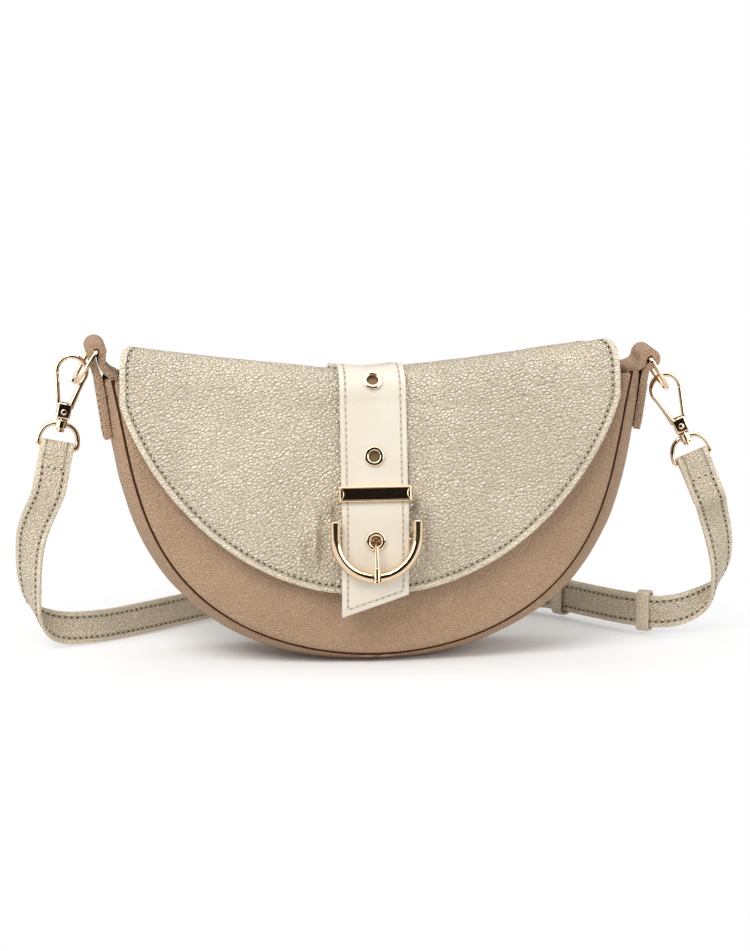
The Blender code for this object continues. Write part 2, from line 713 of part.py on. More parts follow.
def prong_path():
    """The prong's centre line: out through the eyelet, then down to the buckle's notch."""
    pin = buckle_pin_axis()
    bend = -(PIN_RADIUS + BELT_THICKNESS + EYELET_FLANGE + PRONG_SHAFT + GAP * 7.0)
    tip_y = buckle_plane() - BUCKLE_TUBE - PRONG_COLLAR + BUCKLE_NOTCH
    tip_z = BUCKLE_CENTRE - BUCKLE_RADIUS - BUCKLE_TUBE * 0.5
    root = Vector((0.0, -PRONG_EYE * 0.8, -PRONG_EYE * 0.3))
    knee = Vector((0.0, bend, bend * 0.36))
    tip = Vector((0.0, tip_y - pin.y, tip_z - pin.z))
    return [pin + root, pin + knee, pin + knee.lerp(tip, 0.6), pin + knee.lerp(tip, 0.66), pin + tip]


def make_prong():
    """A slim pin with a rolled eye that turns on the buckle's pin and a thicker collar at its tip."""
    pin = buckle_pin_axis()
    radii = [PRONG_SHAFT, PRONG_SHAFT, PRONG_SHAFT, PRONG_COLLAR, PRONG_COLLAR]
    prong = wire("buckle_prong", prong_path(), radii, GOLD_METAL, pin)
    place = frame_matrix(pin, Vector((0.0, 1.0, 0.0)), Vector((1.0, 0.0, 0.0)))
    half = PRONG_EYE_WIDTH / 2.0
    eye = [(0.0, -half), (PRONG_EYE, -half), (PRONG_EYE, half), (0.0, half)]
    cut(prong, turned("prong_eye_guide", eye, GOLD_METAL, place, steps=14), "UNION")
    bore = [(0.0, -half * 2.0), (PRONG_EYE_HOLE, -half * 2.0), (PRONG_EYE_HOLE, half * 2.0), (0.0, half * 2.0)]
    cut(prong, turned("prong_bore_guide", bore, GOLD_METAL, place, steps=14))


def make_magnets(hinge):
    """The snap: a cup on the front panel and a disc with a plug under the flap."""
    across = -FLAP_SHIFT
    reach = front_reach(across, MAGNET_HEIGHT)
    spare = GAP * 1.5
    out = Vector((0.0, -1.0, 0.0))
    right = Vector((1.0, 0.0, 0.0))
    cup_base = frame_matrix(Vector((across, -reach - spare, MAGNET_HEIGHT)), right, out)
    floor = MAGNET_CUP - MAGNET_RECESS_DEPTH
    cup = [
        (0.0, 0.0), (MAGNET_RADIUS, 0.0), (MAGNET_RADIUS, MAGNET_CUP),
        (MAGNET_RECESS, MAGNET_CUP), (MAGNET_RECESS, floor), (0.0, floor),
    ]
    turned("magnet_cup", cup, STEEL, cup_base)
    top = FLAP_CLEARANCE - spare * 2.0
    low = top - MAGNET_DISC
    plug_end = MAGNET_CUP - MAGNET_PLUG_REACH
    disc = [
        (0.0, plug_end), (MAGNET_PLUG, plug_end), (MAGNET_PLUG, low),
        (MAGNET_RADIUS, low), (MAGNET_RADIUS, top), (0.0, top),
    ]
    turned("magnet_disc", disc, STEEL, cup_base, origin=hinge)


# Side tabs and rings

def gusset_outer(height, back, sign):
    """How far out the gusset's outer face is at a height near the top."""
    step = GAP
    slope = (seam_half_width(height + step) - seam_half_width(height - step)) / (2.0 * step)
    bulge = gusset_bulge(height, back / half_depth(height), sign)
    return seam_half_width(height) + bulge * math.sqrt(1.0 + slope**2)


def tab_axis(side):
    """Middle of the loop that the tab makes over the gusset's top, round the ring's bar."""
    across = gusset_outer(SEAM_TOP, 0.0, sign_of(side)) + TAB_LOOP_OUT[side]
    return Vector((sign_of(side) * across, 0.0, SEAM_TOP + TAB_LOOP_RISE[side]))


def make_tab(side):
    """A thick strip folded round the ring's bar, one leg down each face of the gusset's top."""
    sign = sign_of(side)
    centre = tab_axis(side)
    bend = TAB_LOOP_BORE + TAB_THICKNESS / 2.0
    outer = GAP * 2.0 + TAB_THICKNESS / 2.0
    inner = -(LINING_INSET + LINING_THICKNESS + GAP * 4.5 + TAB_THICKNESS / 2.0)
    lean = TAB_LEAN_DEGREES[side]
    backs = [TAB_WIDTH * (0.5 - k / 4.0) * sign for k in range(5)]
    levels = [SEAM_TOP - LEATHER, (SEAM_TOP * 2.0 + TAB_END) / 3.0, (SEAM_TOP + TAB_END * 2.0) / 3.0, TAB_END]
    rows = [[(gusset_outer(z, y, sign) + inner, y, z) for y in backs] for z in (TAB_INNER_END, SEAM_TOP)]
    for k in range(13):
        angle = math.radians(180.0 - lean - (180.0 + lean * 0.6) * k / 12.0)
        across = abs(centre.x) + math.cos(angle) * bend
        rows.append([(across, y, centre.z + math.sin(angle) * bend) for y in backs])
    rows += [[(gusset_outer(z, y, sign) + outer, y, z) for y in backs] for z in levels]
    placed = [[Vector((sign * x, y, z)) for x, y, z in row] for row in rows]
    sheet("tab_" + side, placed, TAB_THICKNESS, TAN_LEATHER, side=0.0)


def ring_outline():
    """The tab ring's centre line as (out from the bar, along the bar)."""
    half, corner = RING_HALF_WIDTH, RING_CORNER
    made = []
    for k in range(3):
        angle = math.radians(180.0 + 45.0 * k)
        made.append((corner + corner * math.cos(angle), -half + corner + corner * math.sin(angle)))
    turns = 14
    for k in range(turns + 1):
        angle = math.pi * (k / turns - 0.5)
        out = RING_STRAIGHT + (RING_LENGTH - RING_STRAIGHT) * math.cos(angle)
        made.append((out, half * math.sin(angle)))
    for k in range(3):
        angle = math.radians(90.0 + 45.0 * k)
        made.append((corner + corner * math.cos(angle), half - corner + corner * math.sin(angle)))
    return made


def ring_direction(side):
    """From the ring's bar towards its bow."""
    lean = math.radians(RING_LEAN_DEGREES[side])
    return Vector((sign_of(side) * math.sin(lean), 0.0, -math.cos(lean)))


def make_tab_ring(side):
    """A closed wire ring whose straight bar turns in the tab's loop."""
    axis = tab_axis(side)
    out = ring_direction(side)
    along = Vector((0.0, 1.0, 0.0))
    points = [axis + out * a + along * b for a, b in ring_outline()]
    wire("tab_ring_" + side, points, RING_WIRE, GOLD_METAL, axis, cyclic=True)


# Snap hooks. Local x points at the bag, local z up the hook, the rivet at the origin.

def hook_up(side):
    lean = math.radians(HOOK_LEAN_DEGREES[side])
    return Vector((-sign_of(side) * math.sin(lean), 0.0, math.cos(lean)))


def hook_top(side):
    """Middle of the eye's top bar: the hook hangs by its eye from the tab ring's bow."""
    bow = tab_axis(side) + ring_direction(side) * RING_LENGTH
    return bow + Vector((-sign_of(side) * HOOK_TOP_IN[side], 0.0, HOOK_TOP_RISE[side]))


def hook_frame(side):
    up = hook_up(side)
    rivet = hook_top(side) - up * (HOOK_EYE_CENTRE + HOOK_EYE_RADIUS)
    return frame_matrix(rivet, Vector((-sign_of(side), 0.0, 0.0)), up)


def eye_side(height):
    """Half width of the eye's straight sides at a height above the rivet."""
    angle = math.radians(HOOK_EYE_TAPER_DEGREES)
    return (HOOK_EYE_RADIUS - (HOOK_EYE_CENTRE - height) * math.sin(angle)) / math.cos(angle)


def make_hook(side):
    """Cast hook: block with a slot for the gate, a spine and arc, and the swivel stem below."""
    frame = hook_frame(side)
    origin = frame.translation
    start = HOOK_BLOCK_TOP - HOOK_WIRE * 2.0
    spine = [Vector((eye_side(start) - HOOK_WIRE * 0.4, 0.0, start))]
    low = -HOOK_EYE_TAPER_DEGREES
    for k in range(13):
        angle = math.radians(low + (180.0 - 2.0 * low) * k / 12.0)
        x = HOOK_EYE_RADIUS * math.cos(angle)
        spine.append(Vector((x, 0.0, HOOK_EYE_CENTRE + HOOK_EYE_RADIUS * math.sin(angle))))
    spine = [frame @ point for point in spine]
    hook = wire("hook_" + side, spine, HOOK_WIRE, GOLD_METAL, origin)
    half, deep = HOOK_BLOCK_HALF, HOOK_BLOCK_DEPTH / 2.0
    body = block("hook_block_guide_" + side, (-half, -deep, -half), (half, deep, HOOK_BLOCK_TOP), GOLD_METAL, frame)
    cut(hook, body, "UNION")
    stem = [
        (0.0, -STEM_END), (STEM_FOOT, -STEM_END), (STEM_FOOT, -STEM_END + STEM_FOOT_HEIGHT),
        (STEM_RADIUS, -STEM_END + STEM_FOOT_HEIGHT), (STEM_RADIUS, -half / 2.0), (0.0, -half / 2.0),
    ]
    cut(hook, turned("stem_guide_" + side, stem, GOLD_METAL, frame, steps=12), "UNION")
    room = GATE_FOOT + GAP * 1.5
    low_corner = (-half * 2.0, -HOOK_SLOT / 2.0, -room)
    slot = block("slot_guide_" + side, low_corner, (room, HOOK_SLOT / 2.0, half * 2.0), GOLD_METAL, frame)
    cut(hook, slot)
    across = frame @ frame_matrix(Vector(), Vector((1.0, 0.0, 0.0)), Vector((0.0, 1.0, 0.0)))
    bore = [(0.0, -deep * 2.0), (RIVET_HOLE, -deep * 2.0), (RIVET_HOLE, deep * 2.0), (0.0, deep * 2.0)]
    cut(hook, turned("rivet_bore_guide_" + side, bore, GOLD_METAL, across, steps=12))


def make_gate(side):
    """The sprung gate: a foot on the rivet and a bar that closes the eye."""
    frame = hook_frame(side)
    top = HOOK_GATE_TOP
    low = HOOK_BLOCK_TOP
    points = [Vector(), Vector((-eye_side(low), 0.0, low)), Vector((-eye_side(top), 0.0, top))]
    points = [frame @ point for point in points]
    gate = wire("gate_" + side, points, GATE_WIRE, GOLD_METAL, frame.translation)
    across = frame @ frame_matrix(Vector(), Vector((1.0, 0.0, 0.0)), Vector((0.0, 1.0, 0.0)))
    thick = GATE_WIRE
    foot = [(0.0, -thick), (GATE_FOOT, -thick), (GATE_FOOT, thick), (0.0, thick)]
    cut(gate, turned("foot_guide_" + side, foot, GOLD_METAL, across, steps=14), "UNION")
    bore = [(0.0, -thick * 2.0), (RIVET_HOLE, -thick * 2.0), (RIVET_HOLE, thick * 2.0), (0.0, thick * 2.0)]
    cut(gate, turned("foot_bore_guide_" + side, bore, GOLD_METAL, across, steps=12))


def make_rivet(side):
    frame = hook_frame(side)
    across = frame @ frame_matrix(Vector(), Vector((1.0, 0.0, 0.0)), Vector((0.0, 1.0, 0.0)))
    face = HOOK_BLOCK_DEPTH / 2.0 + GAP
    crest = face + RIVET_HEAD_HEIGHT
    profile = [
        (0.0, -crest), (RIVET_HEAD, -crest), (RIVET_HEAD, -face), (RIVET_RADIUS, -face),
        (RIVET_RADIUS, face), (RIVET_HEAD, face), (RIVET_HEAD, crest), (0.0, crest),
    ]
    turned("rivet_" + side, profile, GOLD_METAL, across, steps=12)


def dee_outline():
    """The strap ring's centre line in the hook's frame: a bow over a straight bar."""
    top = -(BOSS_TOP + BOSS_HEIGHT / 2.0)
    bar = top - DEE_HEIGHT
    corner = DEE_CORNER
    made = []
    turns = 14
    for k in range(turns + 1):
        angle = math.pi * k / turns
        x = DEE_HALF_WIDTH * math.copysign(abs(math.cos(angle)) ** 0.8, math.cos(angle))
        made.append((x, bar + corner + (DEE_HEIGHT - corner) * math.sin(angle) ** 0.9))
    for k in range(1, 3):
        angle = math.radians(180.0 + 45.0 * k)
        made.append((-DEE_HALF_WIDTH + corner + corner * math.cos(angle), bar + corner + corner * math.sin(angle)))
    for k in range(1, 3):
        angle = math.radians(225.0 + 45.0 * k)
        made.append((DEE_HALF_WIDTH - corner + corner * math.cos(angle), bar + corner + corner * math.sin(angle)))
    return made


def make_strap_ring(side):
    """The strap end's ring: bow, bar and the boss that the hook's stem turns in."""
    frame = hook_frame(side)
    points = [frame @ Vector((x, 0.0, z)) for x, z in dee_outline()]
    ring = wire("strap_ring_" + side, points, DEE_WIRE, GOLD_METAL, frame.translation, cyclic=True)
    low, high = -BOSS_TOP - BOSS_HEIGHT, -BOSS_TOP
    boss = [(0.0, low), (BOSS_RADIUS, low), (BOSS_RADIUS, high), (0.0, high)]
    cut(ring, turned("boss_guide_" + side, boss, GOLD_METAL, frame, steps=14), "UNION")
    bore = [(0.0, low * 2.0), (BOSS_BORE, low * 2.0), (BOSS_BORE, high / 2.0), (0.0, high / 2.0)]
    cut(ring, turned("boss_bore_guide_" + side, bore, GOLD_METAL, frame, steps=14))


# Shoulder strap. It stands on its edge on the floor behind the bag and hangs from the strap rings.
# Each station is (across, back, up, turn, tilt): shares of the strap ring's distance from the middle,
# of the loop's depth and of the ring's height, then the angles in degrees by which the strap's
# width turns to the front and down.

LEFT_STATION_SHARES = [
    (1.074, 0.045, 0.589, 20.0, 12.0),
    (1.090, 0.070, 0.463, 36.0, 9.0),
    (1.092, 0.100, 0.278, 48.0, 14.0),
    (1.073, 0.142, 0.109, 58.0, 42.0),
    (0.998, 0.190, 0.018, 68.0, 74.0),
    (0.867, 0.255, 0.0, 60.0, 90.0),
    (0.704, 0.400, 0.0, 55.0, 90.0),
    (0.452, 0.660, 0.0, 55.0, 90.0),
    (0.202, 0.865, 0.0, 65.0, 90.0),
    (-0.064, 0.985, 0.0, 85.0, 90.0),
]
LEFT_LIFT_SHARES = [0.1, 0.1, 0.1, 0.1, 0.1, 0.1, 0.1, 0.2, 0.5, 0.9]
RIGHT_STATION_SHARES = [
    (1.072, 0.048, 0.650, 12.0, 15.0),
    (1.101, 0.092, 0.451, 28.0, 12.0),
    (1.111, 0.125, 0.262, 46.0, 16.0),
    (1.091, 0.142, 0.115, 60.0, 46.0),
    (1.022, 0.137, 0.030, 70.0, 76.0),
    (0.935, 0.121, 0.0, 60.0, 90.0),
    (0.839, 0.185, 0.0, 50.0, 90.0),
    (0.753, 0.325, 0.0, 50.0, 90.0),
    (0.642, 0.530, 0.0, 50.0, 90.0),
]
RIGHT_LIFT_SHARES = [1.0, 1.0, 1.0, 1.0, 1.0, 1.0, 1.0, 1.0, 1.0]
BACK_TURN_SHARES = [(0.277, 0.975), (0.444, 0.875)]
BUCKLE_PLACE_SHARES = (0.553, 0.705)
KEEPER_LOOP_STATION_SHARES = {"keeper_loop_end": 5.625, "keeper_loop_buckle": 7.875}


def dee_bar(side):
    frame = hook_frame(side)
    bar = -(BOSS_TOP + BOSS_HEIGHT / 2.0) - DEE_HEIGHT
    return frame @ Vector((0.0, 0.0, bar))


def station(side, shares, lift):
    across, back, up, turn, tilt = shares
    bar = dee_bar(side)
    run = STRAP_WIDTH / 2.0 + STRAP_BUCKLE_LIFT * lift
    place = Vector((across * bar.x, back * STRAP_LOOP_DEPTH, run + up * (bar.z - run)))
    turn, tilt = math.radians(turn), math.radians(tilt)
    flat = math.cos(tilt)
    width = Vector((-sign_of(side) * flat * math.cos(turn), -flat * math.sin(turn), -math.sin(tilt)))
    return place, width


def behind_place(across, back):
    """A place in the free run behind the bag, on the buckle's side."""
    height = STRAP_WIDTH / 2.0 + STRAP_BUCKLE_LIFT
    return Vector((across * dee_bar("right").x, back * STRAP_LOOP_DEPTH, height))


def fold_stations(bar, down, through, width, length):
    """Stations of a strap end folded round a bar: up one side, round the bar, down the other."""
    layer = (STRAP_THICKNESS + STRAP_LAYER_GAP) / 2.0
    bend = DEE_WIRE + STRAP_LAYER_GAP + STRAP_THICKNESS / 2.0
    near = [(length, -layer), (length * 0.4, -layer), (bend * 1.5, -(layer + bend * 2.0) / 3.0)]
    turn = []
    for k in range(7):
        angle = math.radians(-90.0 - 30.0 * k)
        turn.append((bend * math.cos(angle), bend * math.sin(angle)))
    far = [(a, -b) for a, b in reversed(near)]
    made = []
    for a, b in near + turn + far:
        made.append((bar + down * a + through * b, width.copy()))
    return made


def ribbon(name, stations, steps_after, origin):
    """A strap through stations of (centre, width direction); the folds keep their own points."""
    centres = [centre for centre, width in stations]
    widths = [width for centre, width in stations]
    fixed, free = steps_after
    line = centres[:fixed] + smooth_through(centres[fixed:free], 4) + centres[free:]
    spread = widths[:fixed] + smooth_through(widths[fixed:free], 4) + widths[free:]
    rows = []
    for centre, width in zip(line, spread):
        half = width.normalized() * (STRAP_WIDTH / 2.0)
        rows.append([centre - half, centre, centre + half])
    return sheet(name, rows, STRAP_THICKNESS, GOLD_LEATHER, side=0.0, origin=origin)


def swing_origin():
    """Middle of the line through both hooks' top bars, about which the strap swings."""
    return (hook_top("left") + hook_top("right")) / 2.0


def buckle_frame_axes():
    """The strap buckle's heel place, the direction from heel to far bar, and the outer side."""
    place = behind_place(*BUCKLE_PLACE_SHARES)
    across, back = RIGHT_STATION_SHARES[-1][:2]
    along = (place - behind_place(across, back)).normalized()
    outer = Vector((along.y, -along.x, 0.0))
    return place, along, outer


def heel_offset():
    """From the long strap's middle to the heel bar, inwards."""
    fold = DEE_WIRE + STRAP_LAYER_GAP + STRAP_THICKNESS
    return STRAP_THICKNESS / 2.0 + STRAP_LAYER_GAP + fold


def right_run(place):
    """Middle of the short strap and its outer side at a place counted in stations from the ring."""
    points = [station("right", *pair)[0] for pair in zip(RIGHT_STATION_SHARES, RIGHT_LIFT_SHARES)]
    steps = 8
    curve = smooth_through(points, steps)
    k = min(round(place * steps), len(curve) - 2)
    along = (curve[k - 1] - curve[k + 1]).normalized()
    return curve[k], along, Vector((-along.y, along.x, 0.0)).normalized()


def tail_stations():
    """The long strap past the buckle: it lies on the short strap's outer side."""
    made = []
    spacing = STRAP_THICKNESS + STRAP_LAYER_GAP * 2.0
    last = len(RIGHT_STATION_SHARES) - 1
    for place in (last - 0.125, last - 1.0, last - 2.0, last - 2.375, last - 2.625):
        middle, along, outer = right_run(place)
        made.append((middle + outer * spacing, Vector((0.0, 0.0, -1.0))))
    return made


def make_long_strap():
    """From the left strap ring, round behind the bag, through the buckle and on to the tail."""
    up = hook_up("left")
    width = Vector((up.z, 0.0, -up.x))
    stations = fold_stations(dee_bar("left"), -up, Vector((0.0, -1.0, 0.0)), width, STRAP_FOLD_LENGTH)
    fixed = len(stations) - 1
    for shares, lift in zip(LEFT_STATION_SHARES, LEFT_LIFT_SHARES):
        stations.append(station("left", shares, lift))
    down = Vector((0.0, 0.0, -1.0))
    for across, back in BACK_TURN_SHARES:
        stations.append((behind_place(across, back), down))
    place, along, outer = buckle_frame_axes()
    stations.append((place + along * STRAP_BUCKLE_REACH, down))
    stations.append((place, down))
    for centre, _ in tail_stations():
        stations.append((centre, down))
    strap = ribbon("long_strap", stations, (fixed, len(stations)), swing_origin())
    for k in range(3):
        spot = place + along * (STRAP_BUCKLE_REACH * 0.33 - STRAP_HOLE_PITCH * k)
        turn = frame_matrix(spot, along, outer)
        half_long, half_wide = STRAP_HOLE_LENGTH / 2.0, STRAP_HOLE_WIDTH / 2.0
        deep = STRAP_THICKNESS * 1.6
        low, high = (-half_long, -half_wide, -deep), (half_long, half_wide, deep)
        cut(strap, block("strap_hole_guide_%d" % k, low, high, GOLD_LEATHER, turn))


def make_short_strap():
    """From the right strap ring to the buckle's heel bar, folded and sewn at both ends."""
    up = hook_up("right")
    width = Vector((-up.z, 0.0, up.x))
    stations = fold_stations(dee_bar("right"), -up, Vector((0.0, -1.0, 0.0)), width, STRAP_FOLD_LENGTH)
    fixed = len(stations) - 1
    for shares, lift in zip(RIGHT_STATION_SHARES, RIGHT_LIFT_SHARES):
        stations.append(station("right", shares, lift))
    place, along, outer = buckle_frame_axes()
    heel = place - outer * heel_offset()
    down = Vector((0.0, 0.0, -1.0))
    fold = fold_stations(heel, -along, outer, down, STRAP_FOLD_LENGTH * 0.5)
    free = len(stations) + 1
    stations += fold
    strap = ribbon("short_strap", stations, (fixed, free), swing_origin())
    turn = frame_matrix(heel, along, outer)
    half = STRAP_HOLE_WIDTH / 2.0
    reach = heel_offset()
    low, high = (-reach, -half, -reach), (reach * 2.0, half, reach)
    cut(strap, block("heel_slot_guide", low, high, GOLD_LEATHER, turn))


def strap_buckle_points():
    """The strap buckle's rectangle: heel bar inside the strap, far bar outside it."""
    place, along, outer = buckle_frame_axes()
    heel = place - outer * heel_offset()
    far_out = STRAP_THICKNESS / 2.0 + STRAP_LAYER_GAP + STRAP_BUCKLE_WIRE
    far = place + along * STRAP_BUCKLE_REACH + outer * far_out
    half = STRAP_WIDTH / 2.0 + STRAP_LAYER_GAP * 2.5 + STRAP_BUCKLE_WIRE
    reach = (far - heel).length
    direction = (far - heel).normalized()
    corner = STRAP_BUCKLE_CORNER
    made = []
    middles = [(reach - corner, half - corner, 0.0), (corner, half - corner, 90.0)]
    middles += [(corner, corner - half, 180.0), (reach - corner, corner - half, 270.0)]
    for a, b, start in middles:
        for k in range(3):
            angle = math.radians(start + 45.0 * k)
            x, z = a + corner * math.cos(angle), b + corner * math.sin(angle)
            made.append(heel + direction * x + Vector((0.0, 0.0, z)))
    return made, heel, far, direction


def make_strap_buckle():
    points, heel, far, direction = strap_buckle_points()
    wire("strap_buckle", points, STRAP_BUCKLE_WIRE, GOLD_METAL, heel, cyclic=True)


def make_strap_prong():
    """The strap buckle's tongue: an eye on the heel bar, through the strap, over the far bar."""
    points, heel, far, direction = strap_buckle_points()
    place, along, outer = buckle_frame_axes()
    thick = STRAP_PRONG_WIRE
    eye_hole = STRAP_BUCKLE_WIRE + GAP
    eye_rim = eye_hole + thick
    crest = STRAP_BUCKLE_WIRE + GAP * 1.5 + thick
    rise = heel_offset() + STRAP_THICKNESS / 2.0 + thick + GAP
    line = [
        heel + along * (eye_rim - thick / 2.0),
        heel + along * (STRAP_BUCKLE_REACH * 0.4) + outer * (rise * 0.75),
        far + outer * crest - along * (STRAP_BUCKLE_REACH * 0.25),
        far + outer * crest + along * (STRAP_BUCKLE_WIRE * 1.5),
    ]
    prong = wire("strap_prong", line, thick, GOLD_METAL, heel, sides=6)
    turn = frame_matrix(heel, along, Vector((0.0, 0.0, 1.0)))
    rim = [(eye_hole, -thick), (eye_rim, -thick), (eye_rim, thick), (eye_hole, thick)]
    cut(prong, turned("strap_prong_eye_guide", rim, GOLD_METAL, turn, steps=12), "UNION")


def make_keeper_loops():
    """Two leather loops that hold the tail against the short strap."""
    spacing = STRAP_THICKNESS + STRAP_LAYER_GAP * 2.0
    wall = KEEPER_LOOP_WALL
    wide = KEEPER_LOOP_WIDTH / 2.0
    thick = spacing / 2.0 + STRAP_THICKNESS / 2.0 + KEEPER_LOOP_PLAY
    tall = STRAP_WIDTH / 2.0 + KEEPER_LOOP_PLAY
    for name, place in KEEPER_LOOP_STATION_SHARES.items():
        middle, along, outer = right_run(place)
        turn = frame_matrix(middle + outer * (spacing / 2.0), along, Vector((0.0, 0.0, 1.0)))
        low, high = (-wide, -thick - wall, -tall - wall), (wide, thick + wall, tall + wall)
        loop = block(name, low, high, GOLD_LEATHER, turn, swing_origin())
        low, high = (-wide * 2.0, -thick, -tall), (wide * 2.0, thick, tall)
        cut(loop, block(name + "_guide", low, high, GOLD_LEATHER, turn))


def main():
    make_body()
    hinge = make_flap()
    make_flap_anchor()
    make_belt(hinge)
    make_eyelets()
    make_keeper_bar()
    make_buckle_frame()
    make_buckle_pin()
    make_prong()
    make_magnets(hinge)
    for side in SIDES:
        make_tab(side)
        make_tab_ring(side)
        make_hook(side)
        make_gate(side)
        make_rivet(side)
        make_strap_ring(side)
    make_long_strap()
    make_short_strap()
    make_strap_buckle()
    make_strap_prong()
    make_keeper_loops()


main()
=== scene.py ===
import math
from bisect import bisect_right

import bmesh
import bpy
from mathutils import Matrix, Vector, kdtree, noise


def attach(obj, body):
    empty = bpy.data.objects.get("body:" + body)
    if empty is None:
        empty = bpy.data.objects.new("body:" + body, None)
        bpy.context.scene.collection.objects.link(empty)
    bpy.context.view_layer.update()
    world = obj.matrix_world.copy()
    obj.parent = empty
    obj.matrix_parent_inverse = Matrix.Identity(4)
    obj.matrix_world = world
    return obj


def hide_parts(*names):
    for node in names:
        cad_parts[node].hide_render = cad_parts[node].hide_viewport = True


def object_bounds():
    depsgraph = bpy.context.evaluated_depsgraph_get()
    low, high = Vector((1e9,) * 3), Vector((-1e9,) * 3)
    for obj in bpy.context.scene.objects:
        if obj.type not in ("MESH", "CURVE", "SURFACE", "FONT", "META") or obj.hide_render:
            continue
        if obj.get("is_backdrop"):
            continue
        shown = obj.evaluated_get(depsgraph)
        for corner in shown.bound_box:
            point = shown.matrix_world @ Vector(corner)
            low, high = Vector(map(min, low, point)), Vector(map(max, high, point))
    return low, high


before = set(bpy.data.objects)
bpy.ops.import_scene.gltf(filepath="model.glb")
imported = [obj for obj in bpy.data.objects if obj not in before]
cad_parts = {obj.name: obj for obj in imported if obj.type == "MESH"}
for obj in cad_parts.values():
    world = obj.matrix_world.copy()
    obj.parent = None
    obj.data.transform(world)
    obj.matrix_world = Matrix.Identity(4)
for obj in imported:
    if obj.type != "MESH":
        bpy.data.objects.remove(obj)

cad_low, cad_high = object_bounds()


# The bag stands on a white table top that runs on behind it. A large soft lamp hangs over it on the
# left, a weaker one stands on the right and a third hangs behind. Black cards in front and behind, and
# white ones beside and above, give the metal its dark and bright streaks.
CAMERA_AZIMUTH, CAMERA_ELEVATION, CAMERA_DISTANCE = -7.0, 10.0, 1.8
LOOK_AT = Vector((0.0029, -0.0002, 0.0852))
FOCAL_LENGTH, SENSOR_WIDTH = 180.0, 36.0
LAMPS = (  # azimuth and elevation in degrees, distance, size, power
    ("key_lamp", -40.0, 46.0, 1.3, 0.8, 12.0),
    ("fill_lamp", 52.0, 28.0, 1.5, 0.8, 4.0),
    ("top_lamp", 170.0, 70.0, 1.3, 0.8, 2.4),
)
LAMPS_POINT_AT = Vector((0.0, 0.0, 0.06))
WHITE = (1.0, 1.0, 1.0, 1.0)
ROOM_LIGHT, ROOM_TINT = 0.44, (1.0, 0.985, 0.96, 1.0)
SHADE_MIDDLE, SHADE_SHAPE = (0.0, -0.03, 0.0), (0.75, 1.0, 0.0)
SHADE_NEAR, SHADE_FAR, SHADE_GLOW = 0.05, 0.165, 0.03


def on_sphere(azimuth, elevation, distance):
    a, e = math.radians(azimuth), math.radians(elevation)
    return Vector((math.sin(a) * math.cos(e), -math.cos(a) * math.cos(e), math.sin(e))) * distance


def aimed(thing, place, target):
    thing.location = place
    thing.rotation_euler = (target - place).to_track_quat("-Z", "Y").to_euler()
    bpy.context.scene.collection.objects.link(thing)


lens = bpy.data.cameras.new("camera")
lens.lens = FOCAL_LENGTH
lens.sensor_width = SENSOR_WIDTH
lens.sensor_fit = "HORIZONTAL"
lens.clip_start = 0.05
camera = bpy.data.objects.new("camera", lens)
aimed(camera, LOOK_AT + on_sphere(CAMERA_AZIMUTH, CAMERA_ELEVATION, CAMERA_DISTANCE), LOOK_AT)
bpy.context.scene.camera = camera
bpy.context.scene.view_settings.view_transform = "Standard"

for lamp_name, azimuth, elevation, distance, size, power in LAMPS:
    lamp = bpy.data.lights.new(lamp_name, "AREA")
    lamp.shape = "DISK"
    lamp.size = size
    lamp.energy = power
    place = on_sphere(azimuth, elevation, distance)
    aimed(bpy.data.objects.new(lamp_name, lamp), place, LAMPS_POINT_AT)


class Shade:
    """One value of a finish. Sums on it, written as for numbers, become Math nodes."""

    def __init__(self, tree, socket):
        self.tree = tree
        self.socket = socket

    def math(self, operation, *terms):
        node = self.tree.nodes.new("ShaderNodeMath")
        node.operation = operation
        for slot, term in zip(node.inputs, terms):
            if isinstance(term, Shade):
                self.tree.links.new(term.socket, slot)
            else:
                slot.default_value = term
        return Shade(self.tree, node.outputs[0])

    def __add__(self, other):
        return self.math("ADD", self, other)

    def __radd__(self, other):
        return self.math("ADD", other, self)

    def __sub__(self, other):
        return self.math("SUBTRACT", self, other)

    def __rsub__(self, other):
        return self.math("SUBTRACT", other, self)

    def __mul__(self, other):
        return self.math("MULTIPLY", self, other)

    def __rmul__(self, other):
        return self.math("MULTIPLY", other, self)

    def __abs__(self):
        return self.math("ABSOLUTE", self)


